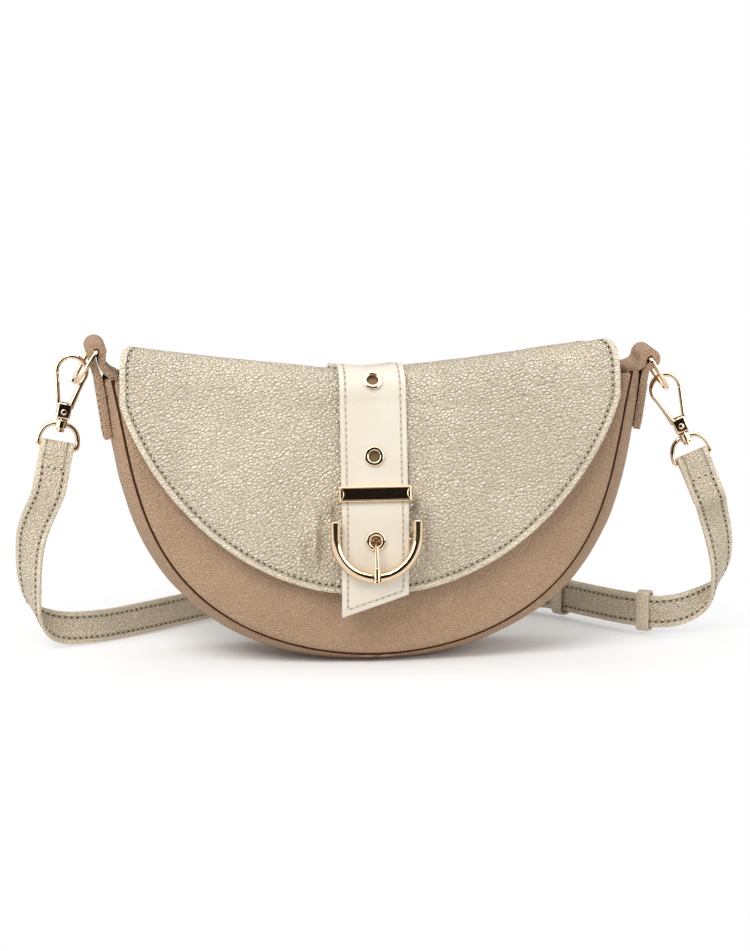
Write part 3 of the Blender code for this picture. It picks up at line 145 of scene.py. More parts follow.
class Finish:
    """A material under construction, with the few kinds of node that leather, cloth and metal need."""

    def __init__(self, name, **looks):
        self.material = bpy.data.materials.new(name)
        self.material.use_nodes = True
        self.tree = self.material.node_tree
        self.shader = self.tree.nodes["Principled BSDF"]
        self.give(**looks)

    def give(self, **looks):
        """Sets the shader's own sockets, named with underscores, to constants or to links."""
        for socket, value in looks.items():
            self.feed(self.shader.inputs[socket.replace("_", " ")], value)

    def node(self, kind, settings, values, out=0):
        made = self.tree.nodes.new("ShaderNode" + kind)
        for key, value in settings.items():
            setattr(made, key, value)
        for key, value in values.items():
            self.feed(made.inputs[key], value)
        return Shade(self.tree, made.outputs[out])

    def feed(self, socket, value):
        if isinstance(value, Shade):
            self.tree.links.new(value.socket, socket)
        else:
            socket.default_value = value

    def place(self):
        return self.node("TexCoord", {}, {}, "Object")

    def clouds(self, scale, detail=2.0):
        values = {"Vector": self.place(), "Scale": scale, "Detail": detail}
        return self.node("TexNoise", {}, values, "Fac")

    def cells(self, scale, feature="F1", vector=None, out="Distance"):
        values = {"Vector": vector or self.place(), "Scale": scale}
        return self.node("TexVoronoi", {"feature": feature}, values, out)

    def bands(self, scale, distortion):
        settings = {"wave_type": "BANDS", "bands_direction": "DIAGONAL"}
        values = {"Vector": self.place(), "Scale": scale, "Distortion": distortion}
        return self.node("TexWave", settings, values, "Fac")

    def step(self, value, low, high):
        ends = {"Value": value, "From Min": low, "From Max": high}
        return self.node("MapRange", {"interpolation_type": "SMOOTHSTEP"}, ends)

    def mix(self, share, first, second):
        return self.node("Mix", {"data_type": "RGBA"}, {0: share, 6: first, 7: second}, 2)

    def measure(self, name):
        return self.node("Attribute", {"attribute_name": name}, {}, "Fac")

    def raised(self, height, depth):
        self.give(Normal=self.node("Bump", {}, {"Height": height, "Distance": depth}))

    def glow_over(self, share):
        """Plain white shows through by this share, and the lit surface by the rest."""
        white = self.node("Emission", {}, {"Color": WHITE})
        lit = Shade(self.tree, self.shader.outputs[0])
        both = self.node("MixShader", {}, {0: share, 1: lit, 2: white})
        self.feed(self.tree.nodes["Material Output"].inputs["Surface"], both)


def rays_seen(finish):
    """1 for what the camera sees itself, in metal or through glass, and 0 for light on the bag."""
    kinds = ("Is Camera Ray", "Is Glossy Ray", "Is Transmission Ray")
    straight, glossy, through_glass = [finish.node("LightPath", {}, {}, kind) for kind in kinds]
    return straight.math("MAXIMUM", straight, glossy.math("MAXIMUM", glossy, through_glass))


class Air(Finish):
    """The room's own nodes, made with the same calls."""

    def __init__(self, world):
        self.tree = world.node_tree


room = bpy.data.worlds.new("white_room")
room.use_nodes = True
bpy.context.scene.world = room
air = Air(room)
room.node_tree.nodes.clear()
soft_light = air.node("Background", {}, {"Color": ROOM_TINT, "Strength": ROOM_LIGHT})
white_wall = air.node("Background", {}, {"Color": WHITE, "Strength": 1.0})
around = air.node("MixShader", {}, {0: rays_seen(air), 1: soft_light, 2: white_wall})
room_end = room.node_tree.nodes.new("ShaderNodeOutputWorld")
air.feed(room_end.inputs["Surface"], around)

paper = Finish("white_table", Base_Color=(0.95, 0.95, 0.95, 1.0), Roughness=0.9, Specular_IOR_Level=0.1)
bag_middle = paper.node("VectorMath", {"operation": "ADD"}, {0: paper.place(), 1: SHADE_MIDDLE})
bag_round = paper.node("VectorMath", {"operation": "MULTIPLY"}, {0: bag_middle, 1: SHADE_SHAPE})
from_bag = paper.node("VectorMath", {"operation": "LENGTH"}, {0: bag_round}, "Value")
glow = SHADE_GLOW + (1.0 - SHADE_GLOW) * paper.step(from_bag, SHADE_NEAR, SHADE_FAR)
paper.glow_over(rays_seen(paper) * glow)
black = Finish("black_card", Base_Color=(0.012, 0.010, 0.009, 1.0), Roughness=0.9, Specular_IOR_Level=0.1)
bright = Finish("bright_card", Base_Color=WHITE, Emission_Color=WHITE, Emission_Strength=2.0, Roughness=0.9)
upright = Matrix.Rotation(math.radians(90.0), 4, "X")


def laid_out(x, y, z, wide, deep, tall=1.0):
    return Matrix.Translation((x, y, z)) @ Matrix.Diagonal((wide, deep, tall, 1.0))


def beside(azimuth, distance, wide, tall):
    """An upright card at this azimuth, seen from the bag."""
    turn = Matrix.Rotation(math.radians(azimuth), 4, "Z")
    return turn @ laid_out(0.0, -distance, tall, wide, 1.0, tall) @ upright


for board_name, place, board_finish in (
    ("table_top", laid_out(0.0, 0.0, -0.0002, 5.5, 5.5), paper),
    ("black_card", beside(-7.0, 0.62, 0.50, 0.36), black),
    ("black_foot", laid_out(0.0, -0.64, 0.0006, 0.6, 0.38), black),
    ("black_back", beside(173.0, 0.90, 0.45, 0.30), black),
    ("bright_card_left", beside(-77.0, 0.75, 0.42, 0.45), bright),
    ("bright_card_right", beside(63.0, 0.75, 0.42, 0.45), bright),
    ("bright_card_top", laid_out(0.0, -0.08, 0.95, 0.55, 0.40), bright),
):
    board_bm = bmesh.new()
    bmesh.ops.create_grid(board_bm, x_segments=1, y_segments=1, size=1.0, matrix=place)
    board_mesh = bpy.data.meshes.new(board_name)
    board_bm.to_mesh(board_mesh)
    board_bm.free()
    board_mesh.materials.append(board_finish.material)
    board = bpy.data.objects.new(board_name, board_mesh)
    bpy.context.scene.collection.objects.link(board)
    board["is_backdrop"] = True
    if board_finish is not paper:
        board.visible_camera = board.visible_diffuse = board.visible_shadow = False


# The two faces of the body are half moons of tan calf with a pebbled grain, crowned outwards by what
# the bag holds. Their edges are turned in and sewn to the gusset from inside, so no stitch shows.
SEAM_HALF_WIDTH, SEAM_FLARE = 0.114, 0.010
SEAM_TOP, SEAM_BOTTOM, SEAM_ROUNDING = 0.1365, 0.004, 3.1
BASE_HALF_DEPTH, TOP_HALF_DEPTH = 0.030, 0.0225
PANEL_CROWN, PANEL_TOP_SAG = 0.006, 0.008
LEATHER = 0.0016
TURNED_EDGE, TURNED_DEPTH = 0.0026, 0.0011
TAN = (0.480, 0.318, 0.197, 1.0)
# Colour mixed into the creases between pebbles: painted shade.
TAN_CREASE_SHADE = (0.29, 0.175, 0.10, 1.0)
GRAIN_TURN, GRAIN_STRETCH = (0.0, -0.5, 0.0), (1.3, 1.0, 0.8)


def pebbled(name, colour, crease_shade, size, depth, roughness, metallic, crease_line=0.0, **looks):
    """Milled leather: domed pebbles, each a little different, with creases between them.

    size is that of a pebble in metres. crease_line is how far in from a cut edge the stitches pull a
    groove, darkened with painted shade. Near the edge the pebbles flatten and their painted crease shade
    fades, so the edge looks paler.
    """
    leather = Finish(name, Metallic=metallic, **looks)
    wander = leather.node("TexNoise", {}, {"Vector": leather.place(), "Scale": 0.3 / size}, "Color")
    shift = leather.node("VectorMath", {"operation": "SCALE"}, {0: wander, "Scale": size * 1.3})
    place = leather.node("VectorMath", {"operation": "ADD"}, {0: leather.place(), 1: shift})
    stretched = {"Vector": place, "Rotation": GRAIN_TURN, "Scale": GRAIN_STRETCH}
    place = leather.node("Mapping", {"vector_type": "TEXTURE"}, stretched)
    reach = leather.cells(1.0 / size, "F1", place)
    own = leather.cells(1.0 / size, "F1", place, "Color")
    border = leather.cells(1.0 / size, "DISTANCE_TO_EDGE", place)
    top = leather.step(border, 0.0, 0.24)
    fine = leather.clouds(3.2 / size)
    slow = leather.clouds(26.0, 3.0)
    height = 1.0 - 1.5 * reach * reach + 0.45 * top + 0.25 * own + 0.3 * fine
    # Between the pebble tops the crease colour comes in: painted shade in the creases.
    painted_shade = 0.62 - 0.62 * top
    if crease_line > 0.0:
        edge = leather.measure("edge")
        line = 1.0 - leather.step(abs(edge - crease_line), 0.0, 0.0008)
        rolled = 1.0 - leather.step(edge, crease_line * 0.55, crease_line)
        height = height * (1.0 - 0.5 * rolled) - 2.2 * line
        # The stitched groove darkens with painted shade, and the painted crease shade fades on the flatter
        # edge.
        painted_shade = painted_shade * (1.0 - 0.35 * rolled) + 0.25 * line
    pale = [min(c * 1.10, 1.0) for c in colour[:3]] + [1.0]
    deep = [c * 0.88 for c in colour[:3]] + [1.0]
    tone = leather.mix(0.65 * own + 0.6 * leather.step(slow, 0.35, 0.68) - 0.2, deep, pale)
    leather.give(Base_Color=leather.mix(painted_shade, tone, crease_shade))
    leather.give(Roughness=roughness + 0.16 - 0.16 * top + 0.06 * slow)
    leather.raised(height, depth)
    return leather.material


tan_leather = pebbled(
    "tan_pebbled_leather", TAN, TAN_CREASE_SHADE, 0.00125, 0.00032, 0.50, 0.0, Specular_IOR_Level=0.4
)


def clamped(share):
    return min(max(share, 0.0), 1.0)


class Path:
    """A smooth line through points, measured along its length. at(share) gives a place on it."""

    def __init__(self, points, steps):
        self.points = through(points, steps) if steps > 1 else points
        self.length = [0.0]
        for first, second in zip(self.points, self.points[1:]):
            self.length.append(self.length[-1] + (second - first).length)

    def find(self, share):
        """The last point before this share of the length, and the part of the way to the next."""
        wanted = clamped(share) * self.length[-1]
        low = min(bisect_right(self.length, wanted) - 1, len(self.length) - 2)
        return low, (wanted - self.length[low]) / max(self.length[low + 1] - self.length[low], 1e-9)

    def at(self, share):
        low, part = self.find(share)
        return self.points[low].lerp(self.points[low + 1], part)


def through(points, steps):
    """A Catmull-Rom curve through the points."""
    made = []
    for i in range(len(points) - 1):
        p1, p2 = points[i], points[i + 1]
        p0 = points[i - 1] if i > 0 else p1 * 2.0 - p2
        p3 = points[i + 2] if i + 2 < len(points) else p2 * 2.0 - p1
        for k in range(steps):
            t = k / steps
            bend = (p0 * 2.0 - p1 * 5.0 + p2 * 4.0 - p3) * (0.5 * t * t)
            twist = (p1 * 3.0 - p0 - p2 * 3.0 + p3) * (0.5 * t * t * t)
            made.append(p1 + (p2 - p0) * (0.5 * t) + bend + twist)
    made.append(points[-1].copy())
    return made


def belongs(piece, body, slot, *nodes):
    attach(piece, body)
    if nodes:
        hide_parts(*nodes)
    return piece


def shown(bm, name, finish, crease_degrees=38.0):
    """The mesh as an object at the origin, smooth but for its sharp edges."""
    mesh = bpy.data.meshes.new(name)
    bm.to_mesh(mesh)
    bm.free()
    for material in finish if isinstance(finish, (list, tuple)) else [finish]:
        mesh.materials.append(material)
    mesh.shade_smooth()
    mesh.set_sharp_from_angle(angle=math.radians(crease_degrees))
    piece = bpy.data.objects.new(name, mesh)
    bpy.context.scene.collection.objects.link(piece)
    return piece


def thickened(piece, thickness, offset, edge_width, edge_segments, edge_degrees):
    """Gives a formed sheet its wall and its burnished edges."""
    wall = piece.modifiers.new("thickness", "SOLIDIFY")
    wall.thickness, wall.offset = thickness, offset
    rounded = piece.modifiers.new("burnished_edge", "BEVEL")
    rounded.width, rounded.segments = edge_width, edge_segments
    rounded.limit_method, rounded.angle_limit = "ANGLE", math.radians(edge_degrees)
    return piece


def sheet(name, columns, rows, place, thickness, finish, relief=None, offset=-1.0, counts=None, wide=0.0):
    """Leather or cloth cut flat and formed: place(u, v) gives its outer face for u and v from 0 to 1.

    Each point keeps its distance from the cut edge, for the stitched grooves and their painted shade, for
    the edges' own colour and the paler edge where painted crease shade fades, and relief(point, edge) gives
    how far the surface stands out there. A strip's edges are its long ones, wide apart.
    """
    bm = bmesh.new()
    bmesh.ops.create_grid(bm, x_segments=columns, y_segments=rows, size=0.5)
    edge_layer = bm.verts.layers.float.new("edge")
    for vert in bm.verts:
        vert[edge_layer] = (0.5 - abs(vert.co.x)) * wide
        vert.co = place(vert.co.x + 0.5, vert.co.y + 0.5)
    if not wide:
        rim = [edge for edge in bm.edges if edge.is_boundary and (counts is None or counts(edge))]
        ends = [(edge.verts[0].co, edge.verts[1].co) for edge in rim]
        marks = [first.lerp(second, k / 4.0) for first, second in ends for k in range(4)]
        tree = kdtree.KDTree(len(marks))
        for i, mark in enumerate(marks):
            tree.insert(mark, i)
        tree.balance()
        for vert in bm.verts:
            vert[edge_layer] = tree.find(vert.co)[2]
    if relief:
        bm.normal_update()
        moves = [(vert, vert.normal * relief(vert.co, vert[edge_layer])) for vert in bm.verts]
        for vert, move in moves:
            vert.co += move
    return thickened(shown(bm, name, finish), thickness, offset, min(thickness * 0.3, 0.0006), 2, 50.0)


def seam_rise(height):
    return (height - SEAM_BOTTOM) / (SEAM_TOP - SEAM_BOTTOM)


def seam_half_width(height):
    drop = clamped((SEAM_TOP - height) / (SEAM_TOP - SEAM_BOTTOM))
    return SEAM_HALF_WIDTH * math.sqrt(1.0 - drop**SEAM_ROUNDING) + SEAM_FLARE * (1.0 - drop) ** 3


def half_depth(height):
    return BASE_HALF_DEPTH + (TOP_HALF_DEPTH - BASE_HALF_DEPTH) * clamped(height / SEAM_TOP)


def front_reach(across, height):
    share = clamped(seam_rise(height))
    spread = min(abs(across) / max(seam_half_width(height), LEATHER), 1.0)
    return half_depth(height) + PANEL_CROWN * (1.0 - spread**2) * math.sin(math.pi * share)


def seam_place(share):
    angle = 0.5 * math.pi * share
    drop = math.cos(angle) ** (2.0 / SEAM_ROUNDING)
    across = SEAM_HALF_WIDTH * math.sin(angle) + SEAM_FLARE * (1.0 - drop) ** 3
    return Vector((across, 0.0, SEAM_TOP - (SEAM_TOP - SEAM_BOTTOM) * drop))


SEAM = Path([seam_place(k / 400.0) for k in range(401)], 1)


def face_place(facing, inset):
    """The outer face of a panel. facing is -1 at the front and 1 at the back."""

    def place(u, v):
        point = SEAM.at(0.012 + 0.988 * v)
        share = (2.0 * u - 1.0) * -facing
        rise = seam_rise(point.z)
        z = point.z - PANEL_TOP_SAG * (1.0 - share**2) * rise**6
        half = max(point.x - inset, 0.0)
        return Vector((share * half, facing * (front_reach(share * point.x, z) - inset), max(z, inset)))

    return place


def soft_swell(point, edge):
    """Slow swells of a soft bag, small puckers beside the seam, and the edge turned inwards."""
    swell = 0.0006 * noise.noise(point * 24.0) + 0.00022 * noise.noise(point * 70.0)
    pucker = 0.0005 * noise.noise(point * 150.0) * math.exp(-edge / 0.006)
    turn = max(1.0 - edge / TURNED_EDGE, 0.0)
    return (swell + pucker) * min(edge / 0.004, 1.0) - TURNED_DEPTH * turn**2


for panel_name, facing in (("front_panel", -1.0), ("back_panel", 1.0)):
    panel = sheet(
        panel_name + "_leather", 130, 84, face_place(facing, 0.0), LEATHER, tan_leather, relief=soft_swell
    )
    belongs(panel, "bag", "tan_leather", panel_name)


# The gusset is one long strip of the same leather between the two faces. It rounds outwards at the
# ends, folds in a little beside the tabs and is pressed flat underneath, where the bag stands.
GUSSET_BULGE, GUSSET_TOP_DRAW, GUSSET_RIGHT_SWELL = 0.007, 0.0034, 0.0033
GUSSET_FOLD, GUSSET_HALF_RUN = 0.0022, 0.250
GAP = 0.0003  # between pieces that lie on each other
# The radius and colour of the dark rod that paints shade into each seam's groove, and the hem's depth below the
# top.
SEAM_SHADE_ROD, HEM_LINE = 0.00098, 0.0048
SEAM_SHADE_BROWN = (0.050, 0.018, 0.008, 1.0)


def gusset_bulge(rise, spread, sign):
    """How far the gusset stands out from the seams: more on the right, which the load has pushed out."""
    swell = GUSSET_RIGHT_SWELL * max(sign, 0.0) * (1.0 - (1.0 - rise) ** 4)
    return (GUSSET_BULGE - GUSSET_TOP_DRAW * rise**2.2 + swell) * (1.0 - abs(spread) ** 3)


def gusset_place(inset, reach):
    def place(u, v):
        along, share = 2.0 * v - 1.0, 2.0 * u - 1.0
        side = 1.0 if along >= 0.0 else -1.0
        low, high = SEAM.at(abs(along) - 0.002), SEAM.at(abs(along) + 0.002)
        point = SEAM.at(abs(along))
        run = (high - low).normalized()
        rise = seam_rise(point.z)
        bulge = gusset_bulge(rise, share, side)
        fold = GUSSET_FOLD * max(rise - 0.82, 0.0) / 0.18 * math.exp(-(((abs(share) - 0.78) / 0.16) ** 2))
        out = bulge - fold * min((1.0 - abs(share)) * 8.0, 1.0) - inset
        across = point.x + run.z * out
        height = point.z - run.x * out
        return Vector((side * across, share * (half_depth(point.z) - reach), max(height, inset)))

    return place


def gusset_swell(point, edge):
    """The panels' swells, flattened where the bag stands."""
    return soft_swell(point, edge) * clamped((point.z - 0.0005) / 0.012)


gusset_face = gusset_place(0.0, LEATHER + GAP)
gusset_strip = sheet("gusset_leather", 26, 300, gusset_face, LEATHER, tan_leather, relief=gusset_swell)
belongs(gusset_strip, "bag", "tan_leather", "gusset")


def turned_frames(points, closed):
    """Placements along a line, each turned as little as possible from the one before."""
    made = []
    normal = None
    count = len(points)
    for i, point in enumerate(points):
        before = points[(i - 1) % count] if closed or i > 0 else point
        after = points[(i + 1) % count] if closed or i < count - 1 else point
        along = (after - before).normalized()
        if normal is None:
            normal = along.orthogonal().normalized()
        normal = (normal - along * normal.dot(along)).normalized()
        axes = Matrix((normal, along.cross(normal), along)).transposed().to_4x4()
        made.append(Matrix.Translation(point) @ axes)
    return made


def bar(name, points, radii, finish, sides=16, closed=False, chamfer=0.0):
    """A round bar bent along points: a circle that is extruded from place to place."""
    points = [point.copy() for point in points]
    radii = list(radii) if isinstance(radii, (list, tuple)) else [radii] * len(points)
    if chamfer > 0.0:
        first = (points[0] - points[1]).normalized()
        last = (points[-1] - points[-2]).normalized()
        inside = [points[0] - first * chamfer] + points[1:-1] + [points[-1] - last * chamfer]
        points = [points[0]] + inside + [points[-1]]
        radii = [radii[0] - chamfer] + radii + [radii[-1] - chamfer]
    places = [m @ Matrix.Scale(r, 4) for m, r in zip(turned_frames(points, closed), radii)]
    bm = bmesh.new()
    bmesh.ops.create_circle(bm, segments=sides, radius=1.0, matrix=places[0])
    ring = list(bm.edges)
    first_ring = ring
    for before, after in zip(places, places[1:]):
        grown = bmesh.ops.extrude_edge_only(bm, edges=ring)["geom"]
        ring = [item for item in grown if isinstance(item, bmesh.types.BMEdge) and item.is_boundary]
        moved = list({vert for edge in ring for vert in edge.verts})
        bmesh.ops.transform(bm, matrix=after @ before.inverted(), verts=moved)
    if closed:
        bmesh.ops.bridge_loops(bm, edges=first_ring + ring)
    else:
        bmesh.ops.edgeloop_fill(bm, edges=first_ring)
        bmesh.ops.edgeloop_fill(bm, edges=ring)
    bmesh.ops.recalc_face_normals(bm, faces=bm.faces)
    return shown(bm, name, finish)


# A dark rod lies in the groove of each seam between a face and the gusset: painted shade, since the seam is
# sewn inside and no cord shows.
seam_shade = Finish("seam_groove_shade", Base_Color=SEAM_SHADE_BROWN, Roughness=0.9, Specular_IOR_Level=0.05)
seam_shade.raised(seam_shade.clouds(900.0), 0.0002)
for seam_shade_name, facing in (("front_seam_shade", -1.0), ("back_seam_shade", 1.0)):
    line = []
    for k in range(161):
        point = SEAM.at(abs(k / 80.0 - 1.0))
        across = math.copysign(max(point.x - 0.0006, 0.0), k / 80.0 - 1.0)
        line.append(Vector((across, facing * (half_depth(point.z) - 0.0015), point.z + 0.0004)))
    belongs(bar(seam_shade_name, line, SEAM_SHADE_ROD, seam_shade.material, sides=8), "bag", "tan_leather")


# Every row of stitches is waxed thread, three millimetres to a stitch. Each stitch dips into a long
# needle hole at both ends, coloured dark as painted shade inside the hole.
STITCH, STITCH_SPAN = 0.0031, 0.0019
THREAD_WIDTH, THREAD_HEIGHT = 0.00062, 0.00042
HOLE_LONG, HOLE_WIDE, HOLE_DEPTH = 0.0015, 0.00072, 0.0002
THREAD_LIFT, HOLE_LIFT = 0.00012, 0.0001
NEEDLE_HOLE_SHADE = (0.050, 0.028, 0.013, 1.0)


def thread(name, colour):
    waxed = Finish(name, Roughness=0.55)
    twist = waxed.bands(700.0, 2.0)
    waxed.give(Base_Color=waxed.mix(0.3 * twist, colour, [c * 0.6 for c in colour[:3]] + [1.0]))
    waxed.raised(twist, 0.0001)
    return waxed.material


# A needle hole's finish: its dark colour is painted shade inside the hole.
def pricked(name, colour):
    hole = Finish(name, Base_Color=colour, Roughness=0.9)
    hole.raised(hole.clouds(900.0), 0.0001)
    return hole.material


needle_hole = pricked("needle_hole", NEEDLE_HOLE_SHADE)
tan_thread = thread("tan_thread", (0.58, 0.45, 0.31, 1.0))


def bead(bm, middle, axes, subdivisions, finish_number):
    """A ball stretched along three half axes, for a thread or for a needle hole."""
    turn = Matrix.Translation(middle) @ Matrix(axes).transposed().to_4x4()
    made = bmesh.ops.create_icosphere(bm, subdivisions=subdivisions, radius=1.0, matrix=turn)
    for face in {face for vert in made["verts"] for face in vert.link_faces}:
        face.material_index = finish_number


def stitches(name, place, corners, material, body, slot, face=1.0, lift=0.0, relief=None, hole=needle_hole):
    """A row of stitches on a sheet, through corners given as the sheet's own (u, v).

    lift moves the row off the sheet, and relief(point) follows the sheet's own swells.
    """
    marks = []
    for (u0, v0), (u1, v1) in zip(corners, corners[1:]):
        span = (place(u1, v1) - place(u0, v0)).length
        steps = max(int(span / 0.001), 2) if len(corners) < 40 else 1
        marks += [(u0 + (u1 - u0) * (k / steps), v0 + (v1 - v0) * (k / steps)) for k in range(steps)]
    marks.append(corners[-1])
    line = Path([place(u, v) for u, v in marks], 1)
    bm = bmesh.new()
    count = max(int(line.length[-1] / STITCH), 1)
    for k in range(count):
        i, part = line.find((k + 0.5) / count)
        (u0, v0), (u1, v1) = marks[i], marks[i + 1]
        u, v = u0 + (u1 - u0) * part, v0 + (v1 - v0) * part
        first, second = line.points[i], line.points[i + 1]
        middle, along = first.lerp(second, part), (second - first).normalized()
        side = place(min(u + 0.004, 1.0), v) - place(max(u - 0.004, 0.0), v)
        ahead = place(u, min(v + 0.002, 1.0)) - place(u, max(v - 0.002, 0.0))
        normal = side.cross(ahead).normalized() * face
        wide = normal.cross(along).normalized()
        base = middle + normal * (lift + (relief(middle) if relief else 0.0))
        thread_axes = along * STITCH_SPAN / 2.0, wide * THREAD_WIDTH / 2.0, normal * THREAD_HEIGHT / 2.0
        hole_axes = along * HOLE_LONG / 2.0, wide * HOLE_WIDE / 2.0, normal * HOLE_DEPTH
        bead(bm, base + normal * THREAD_LIFT, thread_axes, 2, 0)
        bead(bm, base + along * STITCH / 2.0 + normal * HOLE_LIFT, hole_axes, 1, 1)
    bmesh.ops.recalc_face_normals(bm, faces=bm.faces)
    return belongs(shown(bm, name, [material, hole], 80.0), body, slot)


def hem_relief(point):
    return soft_swell(point, HEM_LINE)


hem = 1.0 - HEM_LINE / GUSSET_HALF_RUN
for hem_name, place, row in (
    ("gusset_hem_left", gusset_face, [(0.06, 1.0 - hem), (0.94, 1.0 - hem)]),
    ("gusset_hem_right", gusset_face, [(0.06, hem), (0.94, hem)]),
    ("front_hem", face_place(-1.0, 0.0), [(0.02, 0.972), (0.98, 0.972)]),
    ("back_hem", face_place(1.0, 0.0), [(0.02, 0.972), (0.98, 0.972)]),
):
    stitches(hem_name, place, row, tan_thread, "bag", "tan_leather", relief=hem_relief)


# The lining is dark brown twill in three pieces, glued inside the two faces and the gusset. It is
# open at the top, and only its upper edge shows, beside the tabs.
LINING_INSET, LINING_THICKNESS = 0.0026, 0.0005
LINING_BROWN, LINING_SHADE = (0.10, 0.065, 0.042, 1.0), (0.055, 0.034, 0.022, 1.0)

twill = Finish("brown_twill", Roughness=0.85, Sheen_Weight=0.2)
weave = twill.bands(420.0, 1.0)
twill.give(Base_Color=twill.mix(0.5 * weave, LINING_BROWN, LINING_SHADE))
twill.raised(weave, 0.0001)


def lined(place, start, run):
    """The part of a panel's inner face that its lining covers."""

    def inner(u, v):
        return place(u, start + v * run)

    return inner


lining_reach = LINING_INSET + LINING_THICKNESS + GAP
for lining_name, columns, rows, place in (
    ("lining_front", 60, 40, lined(face_place(-1.0, LINING_INSET), 0.004, 0.966)),
    ("lining_back", 60, 40, lined(face_place(1.0, LINING_INSET), 0.004, 0.966)),
    ("lining_gusset", 16, 160, lined(gusset_place(LINING_INSET, lining_reach), 0.018, 0.964)),
):
    cloth = sheet(lining_name + "_cloth", columns, rows, place, LINING_THICKNESS, twill.material)
    belongs(cloth, "bag", "lining_cloth", lining_name)


# A tab of doubled tan leather is folded over the gusset's top at each end and sewn through it. Its
# fold makes the loop that the tab ring's bar turns in. The right tab has sagged outwards.
TAB_WIDTH, TAB_THICKNESS = 0.024, 0.0034
TAB_LEVELS_IN, TAB_LEVELS_OUT = (0.122, 0.129, SEAM_TOP), (SEAM_TOP - LEATHER, 0.1267, 0.1168, 0.107)
TAB_PINCH = (0.55, 0.95, 0.95, 0.6)
TAB_LOOP_BORE, TAB_GAP_OUT, TAB_GAP_IN = 0.0015, 0.0006, 0.00135
TABS = {  # sign of x, place of the loop across and up, lean of the loop in degrees
    "left": (-1.0, 0.13052, 0.1492, 0.0),
    "right": (1.0, 0.13424, 0.1411, 20.0),
}


def arc(middle, radius, start, sweep, steps):
    """Points on a circle in two dimensions, from start on through sweep, both in degrees."""
    angles = [math.radians(start + sweep * k / steps) for k in range(steps + 1)]
    return [(middle[0] + radius * math.cos(a), middle[1] + radius * math.sin(a)) for a in angles]


def gusset_outer(height, back, sign):
    """How far across the gusset's outer face lies at this height."""
    step = 0.0003
    slope = (seam_half_width(height + step) - seam_half_width(height - step)) / (2.0 * step)
    bulge = gusset_bulge(clamped(seam_rise(height)), back / half_depth(height), sign)
    return seam_half_width(height) + bulge * math.sqrt(1.0 + slope**2)


def tab_place(side):
    sign, loop_across, loop_height, lean = TABS[side]
    outer = TAB_GAP_OUT + TAB_THICKNESS
    inner = -(LINING_INSET + LINING_THICKNESS + TAB_GAP_IN + TAB_THICKNESS)
    bend = TAB_LOOP_BORE + TAB_THICKNESS
    columns = {}

    def column(back):
        points = [Vector((gusset_outer(z, back, sign) + inner, back, z)) for z in TAB_LEVELS_IN]
        leg = [Vector((gusset_outer(z, back, sign) + outer, back, z)) for z in TAB_LEVELS_OUT]
        loop = arc((loop_across, loop_height), bend, 180.0 - lean, -(180.0 + lean * 0.6), 12)
        over = [Vector((x, back, z)) for x, z in loop]
        low = points[-1]
        for k, pinch in enumerate(TAB_PINCH):
            spot = low.lerp(over[0], (k + 1) / 5.0)
            beside_leg = leg[0].lerp(over[-1], (k + 1) / 5.0).x - TAB_THICKNESS * 2.0 - TAB_GAP_OUT
            spot.x += (beside_leg - spot.x) * pinch
            points.append(spot)
        down = [over[-1].lerp(leg[0], k / 5.0) for k in range(1, 5)]
        return Path(points + over + down + leg, 6)

    def place(u, v):
        key = round((0.5 - u) * TAB_WIDTH * sign, 7)
        if key not in columns:
            columns[key] = column(key)
        point = columns[key].at(v)
        return Vector((sign * point.x, point.y, point.z))

    return place


for side in TABS:
    tab = sheet("tab_" + side + "_leather", 14, 110, tab_place(side), TAB_THICKNESS, tan_leather)
    belongs(tab, "bag", "tan_leather", "tab_" + side)
    row = [(0.1, 0.72), (0.1, 0.965), (0.9, 0.965), (0.9, 0.72)]
    stitches("tab_" + side + "_stitches", tab_place(side), row, tan_thread, "bag", "tan_leather")


# The flap is one piece of champagne coloured, faintly metallic pebbled calf. It is sewn to the back,
# folds over the sagging top and hangs down the front. Its edge is turned under and stitched.
FLAP_INSET, FLAP_SHIFT = 0.003, 0.002
FLAP_BOTTOM, FLAP_WIDEST = 0.0343, 0.138
FLAP_THICKNESS, FLAP_CLEARANCE = 0.002, 0.004
FLAP_ROLL_START, FLAP_RIDGE, FLAP_RIDGE_RISE = 0.126, 0.1388, 0.0145
FLAP_TOP_FRONT, FLAP_TOP_BACK, FLAP_TOP_FALL = 0.017, 0.006, 0.0042
FLAP_CORNER_DRAW, FLAP_BACK_DRAW = 0.005, 0.009
FLAP_ROLL_SQUARE, FLAP_BACK_SQUARE = 2.4, 3.2
FLAP_FRONT_SHARE, FLAP_FIRST_STAGE, FLAP_LINE_UP = 0.55, 0.0006, 0.44
FLAP_DENTS = (  # across, height, half width, half height, depth
    (-0.0263, 0.062, 0.0021, 0.011, 0.0028),
    (-0.0302, 0.060, 0.0021, 0.011, -0.0013),
    (-0.0333, 0.055, 0.0018, 0.010, 0.0012),
    (-0.0205, 0.0740, 0.0022, 0.004, 0.0022),
    (-0.0400, 0.050, 0.0060, 0.013, -0.0009),
    (0.0217, 0.064, 0.0021, 0.009, 0.0022),
    (0.0166, 0.0758, 0.0022, 0.004, 0.0020),
    (0.0330, 0.047, 0.0070, 0.012, -0.0008),
)
HINGE_HEIGHT, HINGE_SPARE = 0.120, 0.0007
STITCH_INSET = 0.0038
CHAMPAGNE = (0.765, 0.675, 0.530, 1.0)
# Colour of the painted shade in the champagne leather's creases.
CHAMPAGNE_CREASE_SHADE = (0.45, 0.36, 0.24, 1.0)

